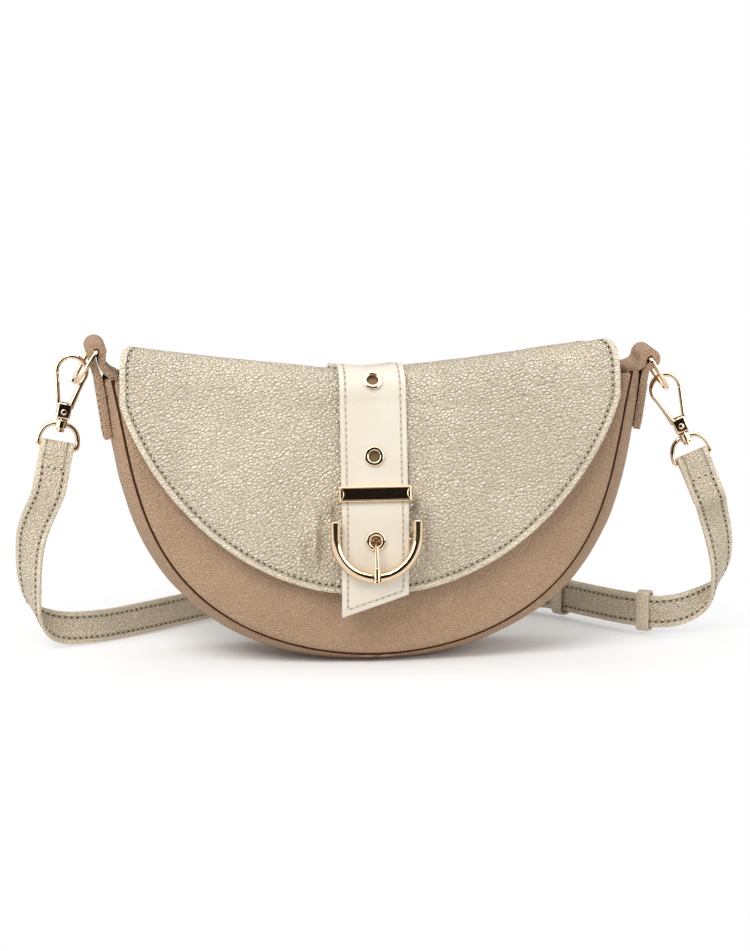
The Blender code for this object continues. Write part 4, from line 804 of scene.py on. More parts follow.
champagne_leather = pebbled(
    "champagne_pebbled_leather", CHAMPAGNE, CHAMPAGNE_CREASE_SHADE, 0.00150, 0.00084, 0.29, 0.28,
    STITCH_INSET - 0.0003,
)
champagne_thread = thread("champagne_thread", (0.68, 0.59, 0.44, 1.0))
FLAP_WIDEST_HALF = seam_half_width(SEAM_TOP) - FLAP_INSET
HINGE_BACK = front_reach(0.0, HINGE_HEIGHT) + HINGE_SPARE + FLAP_THICKNESS


def flap_half_width(height):
    drop = clamped((FLAP_WIDEST - height) / (FLAP_WIDEST - FLAP_BOTTOM))
    return FLAP_WIDEST_HALF * (1.0 - drop**1.5) ** (1.0 / 2.1)


def flap_surface(across, stage, lowest=FLAP_BOTTOM):
    """The outer face: stage 0 to 1 hangs in front, 1 to 2 rolls over, 2 to 3 is the top, 3 to 4 the back."""
    spread = min(abs(across + FLAP_SHIFT) / FLAP_WIDEST_HALF, 1.0)
    ridge = FLAP_RIDGE + FLAP_RIDGE_RISE * spread**1.15
    out = FLAP_CLEARANCE + FLAP_THICKNESS
    if stage <= 1.0:
        z = lowest + (FLAP_ROLL_START - lowest) * stage
        return Vector((across, -front_reach(across, z) - out, z))
    if stage <= 2.0:
        angle = 0.5 * math.pi * (stage - 1.0)
        reach = front_reach(across, FLAP_ROLL_START) + out - FLAP_TOP_FRONT
        y = -FLAP_TOP_FRONT - reach * max(math.cos(angle), 0.0) ** (2.0 / FLAP_ROLL_SQUARE)
        z = FLAP_ROLL_START + (ridge - FLAP_ROLL_START) * math.sin(angle) ** (2.0 / FLAP_ROLL_SQUARE)
        return Vector((across, y, z))
    if stage <= 3.0:
        y = -FLAP_TOP_FRONT + (FLAP_TOP_BACK + FLAP_TOP_FRONT) * (stage - 2.0)
        return Vector((across, y, ridge - FLAP_TOP_FALL * (stage - 2.0)))
    angle = 0.5 * math.pi * (stage - 3.0)
    y = FLAP_TOP_BACK + (HINGE_BACK - FLAP_TOP_BACK) * math.sin(angle) ** (2.0 / FLAP_BACK_SQUARE)
    rise = ridge - FLAP_TOP_FALL - HINGE_HEIGHT
    z = HINGE_HEIGHT + rise * max(math.cos(angle), 0.0) ** (2.0 / FLAP_BACK_SQUARE)
    return Vector((across, y, z))


def flap_half(stage):
    if stage <= 1.0:
        return flap_half_width(FLAP_BOTTOM + (FLAP_ROLL_START - FLAP_BOTTOM) * stage)
    half = flap_half_width(FLAP_ROLL_START)
    if stage <= 2.0:
        return half - FLAP_CORNER_DRAW * (stage - 1.0) ** 3
    return half - FLAP_CORNER_DRAW - FLAP_BACK_DRAW * (stage - 2.0) / 2.0


def flap_stage(v):
    """Rows lie closer together low down, where the outline turns quickly."""
    if v <= FLAP_FRONT_SHARE:
        return FLAP_FIRST_STAGE + (1.0 - FLAP_FIRST_STAGE) * (v / FLAP_FRONT_SHARE) ** 2
    return 1.0 + 3.0 * (v - FLAP_FRONT_SHARE) / (1.0 - FLAP_FRONT_SHARE)


def flap_place(u, v):
    stage = flap_stage(v)
    return flap_surface((2.0 * u - 1.0) * flap_half(stage) - FLAP_SHIFT, stage)


def flap_relief(point, edge):
    """Soft swells, dents where the buckle's weight pulls, and the turned edge with its stitched line."""
    swell = 0.0007 * noise.noise(point * 22.0) + 0.00026 * noise.noise(point * 60.0)
    front = 1.0 if point.y < -0.02 else 0.0
    dents = 0.0
    for across, height, wide, tall, depth in FLAP_DENTS:
        dents += depth * math.exp(-(((point.x - across) / wide) ** 2) - ((point.z - height) / tall) ** 2)
    ripple = 0.0004 * noise.noise(point * 140.0) * math.exp(-edge / 0.005)
    round_edge = 0.0005 * max(1.0 - edge / 0.001, 0.0) ** 2
    groove = 0.00022 * math.exp(-(((edge - STITCH_INSET) / 0.0007) ** 2))
    fold = clamped((point.z - HINGE_HEIGHT) / 0.012) if point.y > 0.02 else 1.0
    return fold * ((swell - front * dents) * min(edge / 0.006, 1.0) + ripple - round_edge - groove)


def not_hinge(edge):
    """The flap's cut edge, without the line along which it bends."""
    return max(vert.co.y for vert in edge.verts) < HINGE_BACK - 0.0004


flap_piece = sheet(
    "flap_leather", 220, 160, flap_place, FLAP_THICKNESS, champagne_leather, relief=flap_relief,
    counts=not_hinge,
)
belongs(flap_piece, "flap_assembly", "champagne_leather", "flap")


def flap_line(inset):
    """The stitched line as (u, v), from the left end of the back round the front to the right end."""
    outline = []
    for k in range(241):
        stage = flap_stage(FLAP_FRONT_SHARE * (k / 240.0) ** 2)
        z = FLAP_BOTTOM + (FLAP_ROLL_START - FLAP_BOTTOM) * stage
        outline.append(Vector((flap_half(stage), 0.0, z)))
    outline = [Vector((-point.x, 0.0, point.z)) for point in reversed(outline)] + outline
    made = []
    for before, point, after in zip(outline, outline[1:], outline[2:]):
        run = (after - before).normalized()
        moved = point + Vector((-run.z, 0.0, run.x)) * inset
        stage = (moved.z - FLAP_BOTTOM) / (FLAP_ROLL_START - FLAP_BOTTOM)
        if stage <= 1.0 and flap_half(stage) > inset:
            rise = max(stage - FLAP_FIRST_STAGE, 0.0) / (1.0 - FLAP_FIRST_STAGE)
            u = clamped((moved.x / flap_half(stage) + 1.0) / 2.0)
            made.append((u, FLAP_FRONT_SHARE * math.sqrt(rise)))
    ends = []
    for k in range(1, 41):
        v = FLAP_FRONT_SHARE + FLAP_LINE_UP * k / 40.0
        ends.append((1.0 - inset / (2.0 * flap_half(flap_stage(v))), v))
    left = [(1.0 - u, v) for u, v in reversed(ends)]
    return left + made + ends


def flap_line_relief(point):
    return flap_relief(point, STITCH_INSET)


stitches(
    "flap_stitches", flap_place, flap_line(STITCH_INSET), champagne_thread, "flap_assembly",
    "champagne_leather", relief=flap_line_relief,
)


# The flap's sewn end is the same champagne calf. It lies flat on the back of the bag, below the line
# where the flap bends, and is sewn down along its two ends and its lower edge.
ANCHOR_LENGTH = 0.016


def anchor_place(u, v):
    z = HINGE_HEIGHT - 0.0006 - ANCHOR_LENGTH * (1.0 - v)
    across = (1.0 - 2.0 * u) * flap_half(4.0) - FLAP_SHIFT
    y = front_reach(across, z) + HINGE_SPARE + FLAP_THICKNESS
    return Vector((across, max(y, HINGE_BACK), z))


anchor = sheet("flap_anchor_leather", 100, 12, anchor_place, FLAP_THICKNESS, champagne_leather)
belongs(anchor, "bag", "champagne_leather", "flap_anchor")
anchor_row = [(0.018, 0.88), (0.018, 0.24), (0.982, 0.24), (0.982, 0.88)]
stitches("flap_anchor_stitches", anchor_place, anchor_row, champagne_thread, "bag", "champagne_leather")


# A belt of smooth cream leather runs over the flap from the back and ends in a slanted tip below the
# buckle. It is stitched all round, and stands off the flap where the buckle's pin is behind it.
BELT_WIDTH, BELT_THICKNESS = 0.0316, 0.0016
BELT_STAND_OFF, BELT_BUCKLE_STAND_OFF = 0.0005, 0.0035
BELT_LONG_EDGE, BELT_SHORT_EDGE = 0.025, 0.0356
BELT_RISE_START, BELT_RISE_END = 0.0928, 0.0728
BELT_STITCH_INSET, BELT_STAGES = 0.0028, 3.8
BELT_HOLE, PUNCH_LOW, PUNCH_HIGH = 0.0033, -0.004, 0.006
CREAM, CREAM_DEEP = (0.735, 0.675, 0.578, 1.0), (0.700, 0.630, 0.520, 1.0)
# Colour of the belt's cut edge, and also painted shade in its stitched groove.
CREAM_EDGE_AND_GROOVE_SHADE = (0.60, 0.49, 0.35, 1.0)

smooth_cream = Finish("cream_smooth_leather", Coat_Weight=0.12, Coat_Roughness=0.35)
cream_slow = smooth_cream.clouds(40.0, 3.0)
cream_fine = smooth_cream.cells(2400.0)
cream_mark = smooth_cream.measure("edge")
cream_edge = 1.0 - smooth_cream.step(cream_mark, 0.0, 0.0009)
cream_line = 1.0 - smooth_cream.step(abs(cream_mark - BELT_STITCH_INSET), 0.0, 0.0007)
cream_tone = smooth_cream.mix(smooth_cream.step(cream_slow, 0.35, 0.7), CREAM_DEEP, CREAM)
# The cut edge takes its own darker colour; the stitched groove gets painted shade in the same colour.
smooth_cream.give(Base_Color=smooth_cream.mix(0.35 * cream_edge + 0.18 * cream_line, cream_tone, CREAM_EDGE_AND_GROOVE_SHADE))
smooth_cream.give(Roughness=0.36 + 0.16 * cream_slow + 0.1 * cream_fine)
smooth_cream.raised(cream_fine + 1.5 * smooth_cream.clouds(500.0) - 5.0 * cream_line, 0.00007)
cream_thread = thread("cream_thread", (0.72, 0.65, 0.53, 1.0))
# The belt's needle holes get a paler painted shade.
cream_hole = pricked("cream_needle_hole", (0.36, 0.28, 0.20, 1.0))


def belt_stand_off(height):
    share = clamped((BELT_RISE_START - height) / (BELT_RISE_START - BELT_RISE_END))
    return BELT_STAND_OFF + (BELT_BUCKLE_STAND_OFF - BELT_STAND_OFF) * share * share * (3.0 - 2.0 * share)


def belt_end(across):
    """The height of the slanted tip."""
    return BELT_LONG_EDGE + (BELT_SHORT_EDGE - BELT_LONG_EDGE) * ((across + FLAP_SHIFT) / BELT_WIDTH + 0.5)


def belt_normal(across, stage, lowest):
    along = flap_surface(across, min(stage + 0.002, 4.0), lowest)
    along = along - flap_surface(across, max(stage - 0.002, 0.0), lowest)
    side = flap_surface(across + 0.0016, stage, lowest) - flap_surface(across - 0.0016, stage, lowest)
    return side.cross(along).normalized()


def belt_point(across, stage, lowest, out):
    point = flap_surface(across, stage, lowest)
    return point + belt_normal(across, stage, lowest) * (belt_stand_off(point.z) + out)


def belt_place(u, v):
    across = (u - 0.5) * BELT_WIDTH - FLAP_SHIFT
    return belt_point(across, BELT_STAGES * v, belt_end(across), BELT_THICKNESS)


def placed(origin, across, up):
    """A placement with local x along across and local z along up."""
    z = up.normalized()
    x = (across - z * across.dot(z)).normalized()
    return Matrix.Translation(origin) @ Matrix((x, z.cross(x), z)).transposed().to_4x4()


RIGHT, BACK, UP = Vector((1.0, 0.0, 0.0)), Vector((0.0, 1.0, 0.0)), Vector((0.0, 0.0, 1.0))
BELT_FOOT = belt_end(-FLAP_SHIFT)


def belt_middle(stage):
    """A place in the middle of the belt's inner face."""
    return belt_point(-FLAP_SHIFT, stage, BELT_FOOT, 0.0)


def belt_frame(stage):
    """On the belt's inner face, with z straight out of the belt."""
    return placed(belt_middle(stage), RIGHT, belt_normal(-FLAP_SHIFT, stage, BELT_FOOT))


def belt_stage(height):
    return (height - BELT_FOOT) / (FLAP_ROLL_START - BELT_FOOT)


EYELET_BUCKLE_HEIGHT, EYELET_MIDDLE_HEIGHT, EYELET_TOP_STAGE = 0.0614, 0.1006, 1.42
EYELETS = {
    "eyelet_top": belt_frame(EYELET_TOP_STAGE),
    "eyelet_middle": belt_frame(belt_stage(EYELET_MIDDLE_HEIGHT)),
    "eyelet_buckle": belt_frame(belt_stage(EYELET_BUCKLE_HEIGHT)),
}


def carve(piece, cutters, operation="DIFFERENCE", crease_degrees=38.0):
    """Cuts other shapes out of a piece, or joins them to it, and keeps the result as its mesh."""
    for cutter in cutters:
        change = piece.modifiers.new("carve", "BOOLEAN")
        change.operation = operation
        change.solver = "EXACT"
        change.object = cutter
    graph = bpy.context.evaluated_depsgraph_get()
    evaluated = piece.evaluated_get(graph)
    mesh = bpy.data.meshes.new_from_object(evaluated, preserve_all_data_layers=True, depsgraph=graph)
    mesh.shade_smooth()
    mesh.set_sharp_from_angle(angle=math.radians(crease_degrees))
    piece.modifiers.clear()
    piece.data = mesh
    for cutter in cutters:
        bpy.data.objects.remove(cutter, do_unlink=True)
    return piece


def turned(name, profile, finish, place, steps=40, crease_degrees=38.0):
    """A profile of (radius, height) turned about the placement's z."""
    bm = bmesh.new()
    points = [bm.verts.new((radius, 0.0, height)) for radius, height in profile]
    edges = [bm.edges.new(pair) for pair in zip(points, points[1:])]
    if min(radius for radius, height in profile) > 0.0:
        edges.append(bm.edges.new((points[-1], points[0])))
    bmesh.ops.spin(
        bm, geom=points + edges, cent=(0.0, 0.0, 0.0), axis=(0.0, 0.0, 1.0), angle=2.0 * math.pi,
        steps=steps, use_merge=True,
    )
    bmesh.ops.remove_doubles(bm, verts=bm.verts, dist=0.000002)
    bmesh.ops.recalc_face_normals(bm, faces=bm.faces)
    bmesh.ops.transform(bm, matrix=place, verts=bm.verts)
    return shown(bm, name, finish, crease_degrees)


def rod(radius, low, high):
    """A round rod's profile."""
    return [(0.0, low), (radius, low), (radius, high), (0.0, high)]


def washer(bore, radius, half, rim_half):
    """The profile of an eye that turns on a pin."""
    return [(bore, -half), (radius, -rim_half), (radius, rim_half), (bore, half)]


belt = sheet("belt_leather", 22, 200, belt_place, BELT_THICKNESS, smooth_cream.material)
punch = rod(BELT_HOLE, PUNCH_LOW, PUNCH_HIGH)
carve(belt, [turned(name + "_punch", punch, smooth_cream.material, place) for name, place in EYELETS.items()])
belongs(belt, "flap_assembly", "cream_leather", "belt_strap")
near, far = BELT_STITCH_INSET / BELT_WIDTH, 1.0 - BELT_STITCH_INSET / BELT_WIDTH
tip_row = BELT_STITCH_INSET * 1.05 / (FLAP_ROLL_START - BELT_FOOT) / BELT_STAGES
belt_row = [(near, 0.98), (near, tip_row), (far, tip_row), (far, 0.98)]
stitches(
    "belt_stitches", belt_place, belt_row, cream_thread, "flap_assembly", "cream_leather",
    lift=-0.0001, hole=cream_hole,
)


# Three pressed eyelets line the belt's holes: a domed rim on the face and a barrel through the hole.
# All the fittings are brass with a polished, pale gold plating.
EYELET_RADIUS, EYELET_HOLE, EYELET_WALL, EYELET_FLANGE = 0.0048, 0.00265, 0.00035, 0.0009
GOLD, GOLD_DEEP = (0.885, 0.695, 0.485, 1.0), (0.83, 0.62, 0.41, 1.0)
# Colour of the painted shade inside the upper eyelets.
EYELET_SHADE_COLOUR = (0.16, 0.10, 0.045, 1.0)

plated = Finish("pale_gold_plating", Metallic=1.0)
plated_slow = plated.clouds(90.0, 3.0)
plated_hair = plated.clouds(2600.0)
plated.give(Base_Color=plated.mix(plated_slow, GOLD_DEEP, GOLD))
plated.give(Roughness=0.035 + 0.05 * plated_slow + 0.02 * plated_hair)
plated.raised(plated_hair, 0.000004)
pale_gold = plated.material

hollow = Finish("eyelet_shadow", Base_Color=EYELET_SHADE_COLOUR, Roughness=0.6)
hollow.raised(hollow.clouds(900.0), 0.00005)

face_level = BELT_THICKNESS + GAP
rim_middle, rim_half = (EYELET_RADIUS + EYELET_HOLE) / 2.0, (EYELET_RADIUS - EYELET_HOLE) / 2.0
profile = [(EYELET_HOLE, 0.0), (EYELET_HOLE + EYELET_WALL, 0.0), (EYELET_HOLE + EYELET_WALL, face_level)]
profile.append((EYELET_RADIUS - 0.0001, face_level))
for k in range(13):
    angle = math.pi * k / 12.0
    level = face_level + 0.0002 + (EYELET_FLANGE - 0.0002) * math.sin(angle)
    profile.append((rim_middle + rim_half * math.cos(angle), level))
for eyelet_name, eyelet_frame in EYELETS.items():
    eyelet = turned(eyelet_name + "_ring", profile, pale_gold, eyelet_frame, 48)
    belongs(eyelet, "flap_assembly", "pale_gold", eyelet_name)
    if eyelet_name != "eyelet_buckle":
        # A dark disc at the back of the hole is painted shade inside the eyelet.
        disc = rod(EYELET_HOLE - 0.0002, 0.0, 0.0003)
        painted_shade = turned(eyelet_name + "_back", disc, hollow.material, eyelet_frame)
        belongs(painted_shade, "flap_assembly", "cream_leather")


# A cast bar lies across the belt above the buckle. Its face has a rounded rim round a sunk field, which
# is cut in at both ends, and a leg at each end reaches down beside the belt to the flap.
KEEPER_LENGTH, KEEPER_HEIGHT, KEEPER_THICKNESS, KEEPER_CENTRE = 0.0342, 0.0074, 0.0022, 0.0828
KEEPER_RIM, KEEPER_SUNK, KEEPER_HORN = 0.0011, 0.0005, 0.0034


def block_between(low, high):
    bm = bmesh.new()
    bmesh.ops.create_cube(bm, size=1.0)
    bmesh.ops.scale(bm, vec=[b - a for a, b in zip(low, high)], verts=bm.verts)
    bmesh.ops.translate(bm, vec=[(a + b) / 2.0 for a, b in zip(low, high)], verts=bm.verts)
    return bm


def rounded_off(bm, edges, offset, segments):
    bmesh.ops.bevel(
        bm, geom=edges, offset=offset, segments=segments, profile=0.5, affect="EDGES", material=-1,
        clamp_overlap=True,
    )


def cast_block(name, low, high, place, soft=0.0003, segments=3):
    """A block with soft edges."""
    bm = block_between(low, high)
    if soft > 0.0:
        rounded_off(bm, list(bm.edges), soft, segments)
    bmesh.ops.transform(bm, matrix=place, verts=bm.verts)
    return shown(bm, name, pale_gold)


keeper_ends = [KEEPER_CENTRE - KEEPER_HEIGHT / 2.0, KEEPER_CENTRE + KEEPER_HEIGHT / 2.0]
keeper_low, keeper_high = [belt_middle(belt_stage(z)) for z in keeper_ends]
keeper_frame = placed((keeper_low + keeper_high) / 2.0, RIGHT, RIGHT.cross(keeper_high - keeper_low))
half_long, half_tall = KEEPER_LENGTH / 2.0, KEEPER_HEIGHT / 2.0
keeper_top = face_level + KEEPER_THICKNESS
keeper_bm = block_between((-half_long, -half_tall, face_level), (half_long, half_tall, keeper_top))
keeper_bm.faces.ensure_lookup_table()
keeper_face = max(keeper_bm.faces, key=lambda f: f.calc_center_median().z)
bmesh.ops.inset_individual(keeper_bm, faces=[keeper_face], thickness=KEEPER_RIM)
bmesh.ops.inset_individual(keeper_bm, faces=[keeper_face], thickness=0.0003, depth=-KEEPER_SUNK)
level = keeper_top - 0.0001
keeper_rim = [edge for edge in keeper_bm.edges if min(vert.co.z for vert in edge.verts) > level]
keeper_rim = [edge for edge in keeper_rim if min(abs(vert.co.y) for vert in edge.verts) > half_tall - 0.0001]
rounded_off(keeper_bm, keeper_rim, 0.0007, 4)
bmesh.ops.transform(keeper_bm, matrix=keeper_frame, verts=keeper_bm.verts)
keeper = shown(keeper_bm, "keeper_bar_face", pale_gold)
horn = [(0.0, face_level + 0.0004), (KEEPER_HORN, face_level + 0.0004), (KEEPER_HORN, keeper_top - 0.0003)]
horn += [(KEEPER_HORN - 0.0003, keeper_top - 0.00005), (0.0, keeper_top - 0.00005)]
for sign in (-1.0, 1.0):
    horn_frame = keeper_frame @ Matrix.Translation((sign * (half_long + KEEPER_HORN * 0.38), 0.0, 0.0))
    knob = turned("keeper_horn", horn, pale_gold, horn_frame, 48)
    cut_from = half_long - 0.0004
    low_x, high_x = sorted((sign * cut_from, sign * (cut_from + KEEPER_LENGTH)))
    cutter = cast_block("horn_cutter", (low_x, -0.01, -0.01), (high_x, 0.01, 0.01), keeper_frame, 0.0)
    carve(knob, [cutter])
    carve(keeper, [knob], "UNION", 12.0)
belongs(keeper, "flap_assembly", "pale_gold", "keeper_bar")
leg_end = 0.0006 - belt_stand_off(keeper_ends[1])
for leg_name, sign in (("keeper_leg_left", -1.0), ("keeper_leg_right", 1.0)):
    inner, outer = sorted((sign * (BELT_WIDTH / 2.0 + GAP), sign * half_long))
    low, high = (inner, -half_tall * 0.8, leg_end), (outer, half_tall * 0.8, face_level + 0.0004)
    belongs(cast_block(leg_name, low, high, keeper_frame, 0.0002, 2), "flap_assembly", "pale_gold")


# The buckle is a horseshoe of round bar, open at the top, with cut-off ends. Lugs behind its legs
# hold a straight pin behind the belt, and a shallow notch at its foot takes the prong.
BUCKLE_RADIUS, BUCKLE_TUBE, BUCKLE_CENTRE, BUCKLE_END = 0.0195, 0.00235, 0.0640, 0.072
BUCKLE_NOTCH, BUCKLE_LUG, LUG_GAP, LUG_WALL = 0.0014, 0.0020, 0.0012, 0.00065
PIN_RADIUS, PIN_HOLE, NOTCH_PLAY = 0.0008, 0.00115, 0.00045
PRONG_SHAFT, PRONG_COLLAR, PRONG_EYE = 0.00100, 0.00145, 0.0019

pin = belt_middle(belt_stage(EYELET_BUCKLE_HEIGHT)) + Vector((0.0, GAP + PIN_RADIUS, 0.0))
buckle_y = pin.y - PIN_RADIUS - 0.0009 - BELT_THICKNESS - BUCKLE_TUBE
arch = [(-FLAP_SHIFT - BUCKLE_RADIUS, BUCKLE_END), (-FLAP_SHIFT - BUCKLE_RADIUS, BUCKLE_CENTRE + 0.004)]
arch += arc((-FLAP_SHIFT, BUCKLE_CENTRE), BUCKLE_RADIUS, 180.0, 180.0, 48)
arch += [(BUCKLE_RADIUS - FLAP_SHIFT, BUCKLE_CENTRE + 0.004), (BUCKLE_RADIUS - FLAP_SHIFT, BUCKLE_END)]
arch = [Vector((x, buckle_y, z)) for x, z in arch]
horseshoe = bar("buckle_horseshoe", arch, BUCKLE_TUBE, pale_gold, sides=28, chamfer=0.0003)

bend = -(PIN_RADIUS + BELT_THICKNESS + EYELET_FLANGE + PRONG_SHAFT + 0.0021)
knee = Vector((0.0, bend, bend * 0.36))
tip = Vector((0.0, buckle_y - BUCKLE_TUBE - PRONG_COLLAR + BUCKLE_NOTCH - pin.y, 0.0))
tip.z = BUCKLE_CENTRE - BUCKLE_RADIUS - BUCKLE_TUBE * 0.5 - pin.z
prong_root = Vector((0.0, -PRONG_EYE * 0.8, -PRONG_EYE * 0.3))
notch_frame = placed(pin + tip, RIGHT, knee - tip)
notch = rod(PRONG_COLLAR + NOTCH_PLAY, -0.008, 0.008)
carve(horseshoe, [turned("notch_cutter", notch, pale_gold, notch_frame, 28)])
belongs(horseshoe, "flap_assembly", "pale_gold", "buckle_frame")
for lug_name, sign in (("buckle_lug_left", -1.0), ("buckle_lug_right", 1.0)):
    inner = sign * (BELT_WIDTH / 2.0 + LUG_GAP) - FLAP_SHIFT
    low_x, high_x = sorted((inner, inner + sign * BUCKLE_LUG))
    tall = PIN_HOLE + LUG_WALL
    low, high = (low_x, buckle_y, pin.z - tall), (high_x, pin.y + tall, pin.z + tall)
    belongs(cast_block(lug_name, low, high, Matrix.Identity(4), 0.0004), "flap_assembly", "pale_gold")
half_pin = BELT_WIDTH / 2.0 + LUG_GAP + BUCKLE_LUG - 0.0002
pin_ends = [pin - RIGHT * half_pin, pin + RIGHT * half_pin]
belongs(bar("buckle_pin_rod", pin_ends, PIN_RADIUS, pale_gold), "flap_assembly", "pale_gold", "buckle_pin")


# The prong is cast and plated too, and turns on the buckle's pin. It comes out through the lowest
# eyelet, slim at first, and has a thicker collar where it lies in the notch.
prong_line = [prong_root, knee * 0.8, knee] + [knee.lerp(tip, part) for part in (0.2, 0.60, 0.62, 0.97)] + [tip]
prong_radii = [PRONG_SHAFT * 0.8] * 3 + [PRONG_SHAFT, PRONG_SHAFT * 1.1]
prong_radii += [PRONG_COLLAR, PRONG_COLLAR, PRONG_COLLAR * 0.6]
prong = bar("buckle_prong_bar", [pin + point for point in prong_line], prong_radii, pale_gold, sides=20)
eye_wall = washer(PIN_HOLE, PRONG_EYE, 0.001, 0.0007)
carve(prong, [turned("prong_eye", eye_wall, pale_gold, placed(pin, BACK, RIGHT), 32)], "UNION")
belongs(prong, "flap_prong", "pale_gold", "buckle_prong")


# The magnet snap is a disc behind the flap and a cup in the front panel, pressed from plated steel
# and riveted through the leather. Both are out of sight, so the frame's own two solids are kept.
STEEL, STEEL_PALE = (0.62, 0.56, 0.45, 1.0), (0.78, 0.72, 0.60, 1.0)
steel = Finish("plated_steel", Metallic=1.0)
steel_slow = steel.clouds(300.0, 2.0)
steel.give(Base_Color=steel.mix(steel_slow, STEEL, STEEL_PALE), Roughness=0.22 + 0.15 * steel_slow)
for node_name in ("magnet_cup", "magnet_disc"):
    node_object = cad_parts[node_name]
    node_object.data.materials.clear()
    node_object.data.materials.append(steel.material)


# A ring of round wire hangs in each tab: a straight bar in the tab's loop and a wide bow, which
# carries the snap hook.
RING_WIRE, RING_HALF_WIDTH, RING_CORNER = 0.00105, 0.0142, 0.0018
RING_LENGTH, RING_STRAIGHT, RING_LEAN = 0.019, 0.006, 32.0


def ring_outline():
    """As (out, back), in the ring's own plane: a corner, the bow and the other corner."""
    corner = RING_HALF_WIDTH - RING_CORNER
    bow = []
    for k in range(49):
        angle = math.pi * (k / 48.0 - 0.5)
        out = RING_STRAIGHT + (RING_LENGTH - RING_STRAIGHT) * math.cos(angle)
        bow.append((out, RING_HALF_WIDTH * math.sin(angle)))
    lower = arc((RING_CORNER, -corner), RING_CORNER, 180.0, 90.0, 5)
    return lower + bow + arc((RING_CORNER, corner), RING_CORNER, 90.0, 90.0, 5)


RING_OUT = {}
for side, (sign, loop_across, loop_height, lean) in TABS.items():
    tilt = math.radians(RING_LEAN)
    RING_OUT[side] = Vector((sign * math.sin(tilt), 0.0, -math.cos(tilt)))
    axis = Vector((sign * loop_across, 0.0, loop_height))
    points = [axis + RING_OUT[side] * a + Vector((0.0, b, 0.0)) for a, b in ring_outline()]
    ring = bar("tab_ring_" + side + "_wire", points, RING_WIRE, pale_gold, sides=20, closed=True)
    belongs(ring, side + "_ring", "pale_gold", "tab_ring_" + side)


# Snap hooks carry the strap. A cast block holds the wire of the eye and a sprung gate on a rivet,
# and a stem below it turns in the boss of the strap ring. Local x points at the bag, z up the hook.
HOOK_TOP_IN, HOOK_TOP_RISE = {"left": 0.0003, "right": 0.0028}, {"left": 0.0122, "right": 0.0062}
HOOK_LEAN = {"left": 11.5, "right": 22.5}
HOOK_WIRE, HOOK_EYE_RADIUS, HOOK_EYE_CENTRE, HOOK_TAPER = 0.0011, 0.007, 0.0197, 14.0
HOOK_GATE_TOP, GATE_WIRE, GATE_FOOT = 0.0175, 0.0010, 0.0018
BLOCK_HALF, BLOCK_TOP, BLOCK_DEPTH, BLOCK_SLOT = 0.0034, 0.0042, 0.0048, 0.0026
STEM_RADIUS, STEM_END, STEM_FOOT, STEM_FOOT_HEIGHT = 0.00125, 0.0098, 0.0020, 0.0012
RIVET_HEAD, RIVET_DOME, RIVET_RADIUS, GATE_BORE, GATE_PLAY = 0.0014, 0.0004, 0.00065, 0.00095, 0.00045


def hook_up(side):
    tilt = math.radians(HOOK_LEAN[side])
    return Vector((-TABS[side][0] * math.sin(tilt), 0.0, math.cos(tilt)))


def hook_top(side):
    sign, loop_across, loop_height, lean = TABS[side]
    bow = Vector((sign * loop_across, 0.0, loop_height)) + RING_OUT[side] * RING_LENGTH
    return bow + Vector((-sign * HOOK_TOP_IN[side], 0.0, HOOK_TOP_RISE[side]))


def hook_place(side):
    up = hook_up(side)
    rivet = hook_top(side) - up * (HOOK_EYE_CENTRE + HOOK_EYE_RADIUS)
    return placed(rivet, Vector((-TABS[side][0], 0.0, 0.0)), up)


def eye_side(height):
    """How far across the tapering sides of the hook's eye lie at this height."""
    angle = math.radians(HOOK_TAPER)
    return (HOOK_EYE_RADIUS - (HOOK_EYE_CENTRE - height) * math.sin(angle)) / math.cos(angle)


